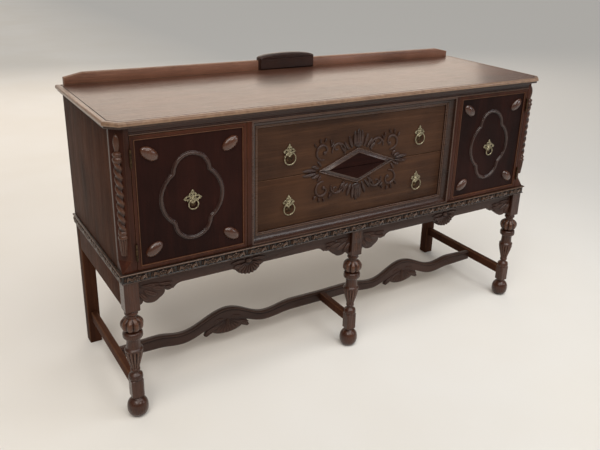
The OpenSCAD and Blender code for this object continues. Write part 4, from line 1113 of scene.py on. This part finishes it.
def scroll_shapes():
    made = Shape()
    for s in (-1, 1):
        for side in (-1, 1):
            curl = volute(138, 66, 29, 8, 262 - 360, 262 - 360 + 330)
            curl = [(side * x, s * z) for x, z in curl]
            scroll(made, curl, np.interp(np.linspace(0, 1, 41), [0, 0.15, 0.5, 0.9, 1],
                                         [2.4, 3.6, 4.6, 3.2, 3.8]))
            dome(made, on_drawer, side * 133, SPLIT_Z + s * 60, 6.5, 6.5, 6.5, n=5, sectors=18)
            swag = volute(80, 60, 27, 24, 205, -10, 26)
            swag = [(side * x, s * z) for x, z in swag]
            scroll(made, swag, np.interp(np.linspace(0, 1, 27), [0, 0.3, 0.8, 1],
                                         [4.2, 3.4, 4.2, 2.4]))
            inner = volute(84, 72, 15, 5, 180, -130, 22)
            inner = [(side * x, s * z) for x, z in inner]
            scroll(made, inner, np.interp(np.linspace(0, 1, 23), [0, 1], [3.4, 2.4]))
            for x, z, heading, length, width, bend in (
                    (150, 92, 78, 18, 8, 30), (134, 95, 100, 17, 8, 30), (164, 82, 48, 18, 8, 24),
                    (112, 78, 150, 22, 8, -50), (106, 84, 60, 20, 8, 40), (160, 4, 8, 58, 13, -8),
                    (152, 8, 40, 34, 12, -50), (146, 14, 72, 26, 11, -40), (170, 2, 22, 34, 9, -30),
                    (12, 66, 82, 56, 17, 14), (22, 62, 62, 48, 15, 20), (34, 58, 44, 40, 14, 26),
                    (46, 52, 30, 34, 12, 34), (4, 64, 94, 58, 12, -2)):
                turn = heading if side > 0 else 180 - heading
                twist = bend * side
                if s < 0:
                    turn, twist = -turn, -twist
                leaf(made, on_drawer, side * x, SPLIT_Z + s * z, turn, length, width, 6.2, twist)
        dome(made, on_drawer, 0, SPLIT_Z + s * 74, 15, 12, 7.5, n=6, sectors=24, mark=(0.1, 0.7))
        leaf(made, on_drawer, 0, SPLIT_Z + s * 70, 90 * s, 58, 20, 7.4, 0, 12, 8)
    return made


# %% Cut each half for its drawer
def half_of(mesh, s):
    """The part of a mesh above (1) or below (-1) the line between the drawers."""
    bm = bmesh.new()
    bm.from_mesh(mesh)
    cut = bmesh.ops.bisect_plane(
        bm, geom=bm.verts[:] + bm.edges[:] + bm.faces[:], dist=1e-6,
        plane_co=(0, 0, (SPLIT_Z + s * HALF_GAP) * MM), plane_no=(0, 0, -s), clear_outer=True)
    rim = [e for e in cut["geom_cut"] if isinstance(e, bmesh.types.BMEdge) and e.is_boundary]
    bmesh.ops.holes_fill(bm, edges=rim, sides=0)
    bmesh.ops.recalc_face_normals(bm, faces=bm.faces)
    made = mesh.copy()
    bm.to_mesh(made)
    bm.free()
    made.shade_smooth()
    made.set_sharp_from_angle(angle=math.radians(38))
    return made


scroll_wood = wood("scroll_walnut",
                   [(0.011, 0.0045, 0.0032), (0.023, 0.008, 0.005), (0.045, 0.015, 0.0085)],
                   "x", gloss=0.3, coat=0.2, worn=(0.06, 0.028, 0.017), hollow=PAINTED_SHADE, wear=0.45)
field_wood = wood("diamond_walnut",
                  [(0.006, 0.0022, 0.0019), (0.013, 0.0042, 0.0034), (0.025, 0.0075, 0.0054)],
                  "x", streak=20, gloss=0.45, coat=0.0, shine=0.04)
rim_shape, field_shape = diamond_shapes()
carvings = {
    "diamond_rim": (rim_shape.mesh("diamond_rim", surround_wood), "_diamond"),
    "diamond_field": (field_shape.mesh("diamond_field", field_wood), "_diamond"),
    "scrollwork": (scroll_shapes().mesh("scrollwork", scroll_wood, 50), "_scrolls"),
}
for title, s in (("upper_drawer", 1), ("lower_drawer", -1)):
    for name, (mesh, node) in carvings.items():
        place_piece(title + "_" + name, half_of(mesh, s), title, "drawer_walnut", title + node)
    eased(title + "_face", title + "_front", drawer_wood, "drawer_walnut", 1.3, title, 12.0)

# %% [markdown]
# ## The pulls
# Each pull is a pierced, leafy brass plate with an eye, and a ring that hangs from
# it, with a low dark disc inside the ring as painted shade. The plate is a flat curve
# with holes, extruded and bevelled, because a filled curve leaves its holes open by
# itself. The rings keep their solids' shape.

# %% A pierced plate
def pierced_plate(width, up, down):
    """The plate's outline and its holes, in a flat curve, as a mesh facing the front."""
    flat = bpy.data.curves.new("plate", "CURVE")
    flat.dimensions, flat.fill_mode = "2D", "BOTH"
    flat.extrude, flat.bevel_depth, flat.bevel_resolution = 0.0006, 0.0007, 2
    half = [(0, up), (0.16, 0.86 * up), (0.1, 0.72 * up), (0.3, 0.66 * up), (0.42, 0.5 * up),
            (0.36, 0.36 * up), (0.62, 0.4 * up), (0.82, 0.26 * up), (1.0, 0.1 * up),
            (0.86, -0.06 * up), (0.66, -0.04 * up), (0.6, -0.4 * down), (0.4, -0.62 * down),
            (0.22, -0.66 * down), (0.14, -0.86 * down), (0, -down)]
    half = [(x * width, z) for x, z in half]
    outline = half + [(-x, z) for x, z in reversed(half[1:-1])]
    holes = [[(side * width * (0.5 + 0.2 * math.cos(t)), up * (0.14 + 0.13 * math.sin(t)))
              for t in np.linspace(0, math.tau, 14, endpoint=False)] for side in (-1, 1)]
    holes += [[(width * 0.13 * math.cos(t) + side * width * 0.16, up * (0.46 + 0.1 * math.sin(t)))
               for t in np.linspace(0, math.tau, 12, endpoint=False)] for side in (-1, 1)]
    for ring in [outline] + holes:
        spline = flat.splines.new("POLY")
        spline.points.add(len(ring) - 1)
        for point, (x, z) in zip(spline.points, ring):
            point.co = (x * MM * 0.96, z * MM * 0.96, 0, 1)
        spline.use_cyclic_u = True
    host = bpy.data.objects.new("plate", flat)
    scene.collection.objects.link(host)
    bpy.context.view_layer.update()
    mesh = bpy.data.meshes.new_from_object(
        host.evaluated_get(bpy.context.evaluated_depsgraph_get()))
    bpy.data.objects.remove(host)
    mesh.transform(Matrix.Rotation(math.pi / 2, 4, "X"))
    return mesh


# %% Eye and boss of a pull
# How far a ring's pivot stands in front of the wood.
PIVOT_OUT = 6.5


def pull_mesh(name, width, up, down, pivots, bolt):
    """Plates, eyes and nuts of the pulls of one body, at their pivots (x, y, z)."""
    metal = Shape()
    plates = []
    for x, y, z in pivots:
        wood_y = y + PIVOT_OUT
        flat = pierced_plate(width, up, down)
        flat.transform(Matrix.Translation((x * MM, (wood_y - 1.3) * MM, z * MM)))
        plates.append(flat)
        put = lambda u, v, h: (u, wood_y - h, v)
        for k in range(6):
            a = math.radians(60 * k + 30)
            dome(metal, put, x + 7.5 * math.cos(a), z + 7.5 * math.sin(a) * 0.9, 1.8, 1.8, 3.6,
                 n=3, sectors=10)
        dome(metal, put, x, z + 0.74 * up, 2.6, 4.2, 4.2, n=4, sectors=14)
        rows = []
        for side, r in ((-2.6, 2.2), (-2.4, 3.4), (-1.6, 3.9), (1.6, 3.9), (2.4, 3.4), (2.6, 2.2)):
            rows.append([(x + side, y + r * math.cos(t), z + r * math.sin(t))
                         for t in np.linspace(0, math.tau, 24, endpoint=False)])
        metal.grid(rows, 0.0, False, True)
        turn = [(0.0, 5.2), (1.0, 5.8), (2.4, 5.4), (4.6, 3.4)]
        metal.grid([[(x + r * math.cos(t), wood_y - h, z + r * math.sin(t))
                     for t in np.linspace(0, math.tau, 24, endpoint=False)] for h, r in turn],
                   0.0, False, True)
        nut = [(bolt, 4.6), (bolt + 0.6, 5.0), (bolt + 2.4, 5.0), (bolt + 3.0, 4.4)]
        metal.grid([[(x + r * math.cos(t), wood_y + h, z + r * math.sin(t))
                     for t in np.linspace(0, math.tau, 6, endpoint=False)] for h, r in nut],
                   0.0, False, True)
    made = metal.mesh(name, brass, 45)
    bm = bmesh.new()
    bm.from_mesh(made)
    for flat in plates:
        bm.from_mesh(flat)
    bmesh.ops.remove_doubles(bm, verts=bm.verts, dist=2e-6)
    bmesh.ops.recalc_face_normals(bm, faces=bm.faces)
    bm.to_mesh(made)
    bm.free()
    made.shade_smooth()
    made.set_sharp_from_angle(angle=math.radians(45))
    return made


# %% Fit them to doors and drawers
def pivot(node):
    """The middle of a ring's pivot: its ring's middle, at its top."""
    x0, x1, y0, y1, _, z1 = edges(node)
    return ((x0 + x1) / 2, (y0 + y1) / 2, z1 - (1.5 if z1 else 0))


for title in ("door_left", "door_right"):
    at = pivot(title + "_ring")
    place_piece(title + "_plate", pull_mesh("plate", 29, 30, 14, [at], 18), title,
                "antique_brass", title + "_pull_plate")
for title in ("upper_drawer", "lower_drawer"):
    at = [pivot(title + "_ring_left"), pivot(title + "_ring_right")]
    place_piece(title + "_plates", pull_mesh("plates", 22, 28, 16, at, 20), title,
                "antique_brass", title + "_pull_plates")


def bosses(body, *rings):
    """A low dark disc inside each ring as painted shade, with a brass pip."""
    shade_disc = Shape()
    for ring in rings:
        x0, x1, _, _, z0, z1 = edges(ring)
        x, z = (x0 + x1) / 2, (z0 + z1) / 2
        face = facing(pivot(ring)[1] + PIVOT_OUT)
        dome(shade_disc, face, x, z, 0.29 * (x1 - x0), 0.29 * (z1 - z0), 2.4, n=5, sectors=28)
        dome(shade_disc, face, x, z, 2.4, 2.8, 3.4, n=4, sectors=14)
    place_piece(body + "_bosses", shade_disc.mesh("bosses", bronze, 45), body, "antique_brass")


RINGS = {
    "door_left": ["door_left_ring"], "door_right": ["door_right_ring"],
    "upper_drawer": ["upper_drawer_ring_left", "upper_drawer_ring_right"],
    "lower_drawer": ["lower_drawer_ring_left", "lower_drawer_ring_right"],
}
for body, rings in RINGS.items():
    bosses(body, *rings)

# %% [markdown]
# ## Finishes on the solids that stay
# The rings, the hinges and the inside of the case keep their solids' own meshes,
# because they are right already. Each only gets its finish.

# %% Assign the finishes
KEPT = {
    "case_back": inner_wood, "case_bottom": side_wood, "dust_frame": inner_wood,
    "drawer_runners": inner_wood, "shelves": inner_wood, "inner_blocks": inner_wood,
    "case_hinges": bronze, "door_left_slab": panel_wood, "door_right_slab": panel_wood,
    "door_left_hinge_leaves": bronze, "door_right_hinge_leaves": bronze,
    "upper_drawer_box": inner_wood, "lower_drawer_box": inner_wood,
    **{ring: brass for rings in RINGS.values() for ring in rings},
}
for name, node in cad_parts.items():
    if node.hide_render:
        continue
    finish = KEPT[name]
    print("keeps its solid:", name, "->", finish.name)
    node.data.materials.clear()
    node.data.materials.append(finish)

# %% [markdown]
# ## The studio
# The sideboard stands on a pale floor under a broad daylight. Soft lights overhead and
# in front draw bright lines on the mouldings, and a wide warm one behind lies on the
# top. A floor that runs far back fills the view, so no wall is needed and the other
# views stay clear.

# %% The floor
floor_shape = bpy.data.meshes.new("floor")
reach = 60.0
floor_shape.from_pydata([(-reach, -reach, 0), (reach, -reach, 0), (reach, reach, 0),
                         (-reach, reach, 0)], [], [(0, 1, 2, 3)])
floor = bpy.data.objects.new("floor", floor_shape)
scene.collection.objects.link(floor)
paper = bpy.data.materials.new("pale_paper")
paper.use_nodes = True
tree = paper.node_tree
shader = tree.nodes["Principled BSDF"]
place = add(tree, "ShaderNodeTexCoord").outputs["Object"]
tint = mixed(tree, ranged(tree, noise_of(tree, place, (0.9, 0.9, 0.9), 3.0), 0.35, 0.65, 0.0, 1.0),
             (0.75, 0.72, 0.67), (0.78, 0.76, 0.725))
across = add(tree, "ShaderNodeSeparateXYZ")
tree.links.new(place, across.inputs[0])
# Painted shade: the floor goes darker and greyer towards the right, from x = 0.5 m to 2.4 m.
tint = mixed(tree, ranged(tree, across.outputs["X"], 0.5, 2.4, 0.0, 1.0), tint,
             (0.6, 0.6, 0.59))
tree.links.new(tint, shader.inputs["Base Color"])
shader.inputs["Roughness"].default_value = 0.62
shader.inputs["Specular IOR Level"].default_value = 0.3
floor_shape.materials.append(paper)

# %% The lights
world = bpy.data.worlds.new("room")
scene.world = world
world.use_nodes = True
sky = world.node_tree.nodes["Background"]
sky.inputs["Color"].default_value = (0.96, 0.92, 0.87, 1.0)
sky.inputs["Strength"].default_value = 0.2


def softbox(name, spot, aim, size, power, colour):
    """A large area light that looks at a point."""
    lamp = bpy.data.lights.new(name, "AREA")
    lamp.shape, lamp.size, lamp.size_y = "RECTANGLE", size[0], size[1]
    lamp.energy, lamp.color = power, colour
    made = bpy.data.objects.new(name, lamp)
    made.location = spot
    made.visible_camera = False
    made.rotation_euler = (Vector(aim) - Vector(spot)).to_track_quat("-Z", "Y").to_euler()
    scene.collection.objects.link(made)
    return made


softbox("key", (-2.6, -2.4, 3.0), (0, 0, 0.6), (0.8, 0.6), 17, (1.0, 0.93, 0.84))
softbox("skylight", (1.2, -1.4, 3.2), (0, -0.2, 0.5), (2.4, 1.2), 30, (0.95, 0.98, 1.0))
softbox("window", (0.5, -3.6, 2.9), (0, -0.2, 0.6), (1.4, 0.7), 20, (1.0, 0.95, 0.88))
softbox("fill", (3.0, -2.6, 1.8), (0.3, 0, 0.6), (0.9, 1.2), 16, (0.88, 0.94, 1.0))
softbox("backdrop_glow", (0.7, 4.6, 2.9), (0, 0, 0.9), (9.0, 2.6), 122, (1.0, 0.86, 0.72))
daylight = bpy.data.lights.new("daylight", "SUN")
daylight.energy, daylight.angle, daylight.color = 1.85, math.radians(50), (1.0, 0.97, 0.93)
sun = bpy.data.objects.new("daylight", daylight)
sun.rotation_euler = (math.radians(24), math.radians(-14), 0)
scene.collection.objects.link(sun)

# %% [markdown]
# ## The camera
# The camera stands left of the middle, above the top's height, and looks down to the
# right. Its shift holds the piece where it belongs in the picture.

# %% The camera
YAW, PITCH, ROLL = math.radians(33.821), math.radians(-21.149), math.radians(2.328)
forward = Vector((math.sin(YAW) * math.cos(PITCH), math.cos(YAW) * math.cos(PITCH),
                  math.sin(PITCH)))
right = Vector((math.cos(YAW), -math.sin(YAW), 0))
up = right.cross(forward)
tilted_right = right * math.cos(ROLL) + up * math.sin(ROLL)
tilted_up = up * math.cos(ROLL) - right * math.sin(ROLL)
lens = bpy.data.cameras.new("camera")
lens.lens, lens.shift_x, lens.shift_y = 40.76, -0.0445, -0.0395
camera = bpy.data.objects.new("camera", lens)
camera.matrix_world = Matrix((
    (tilted_right.x, tilted_up.x, -forward.x, -1.296),
    (tilted_right.y, tilted_up.y, -forward.y, -1.990),
    (tilted_right.z, tilted_up.z, -forward.z, 1.406),
    (0, 0, 0, 1)))
scene.collection.objects.link(camera)
scene.camera = camera
scene.view_settings.view_transform = "Standard"
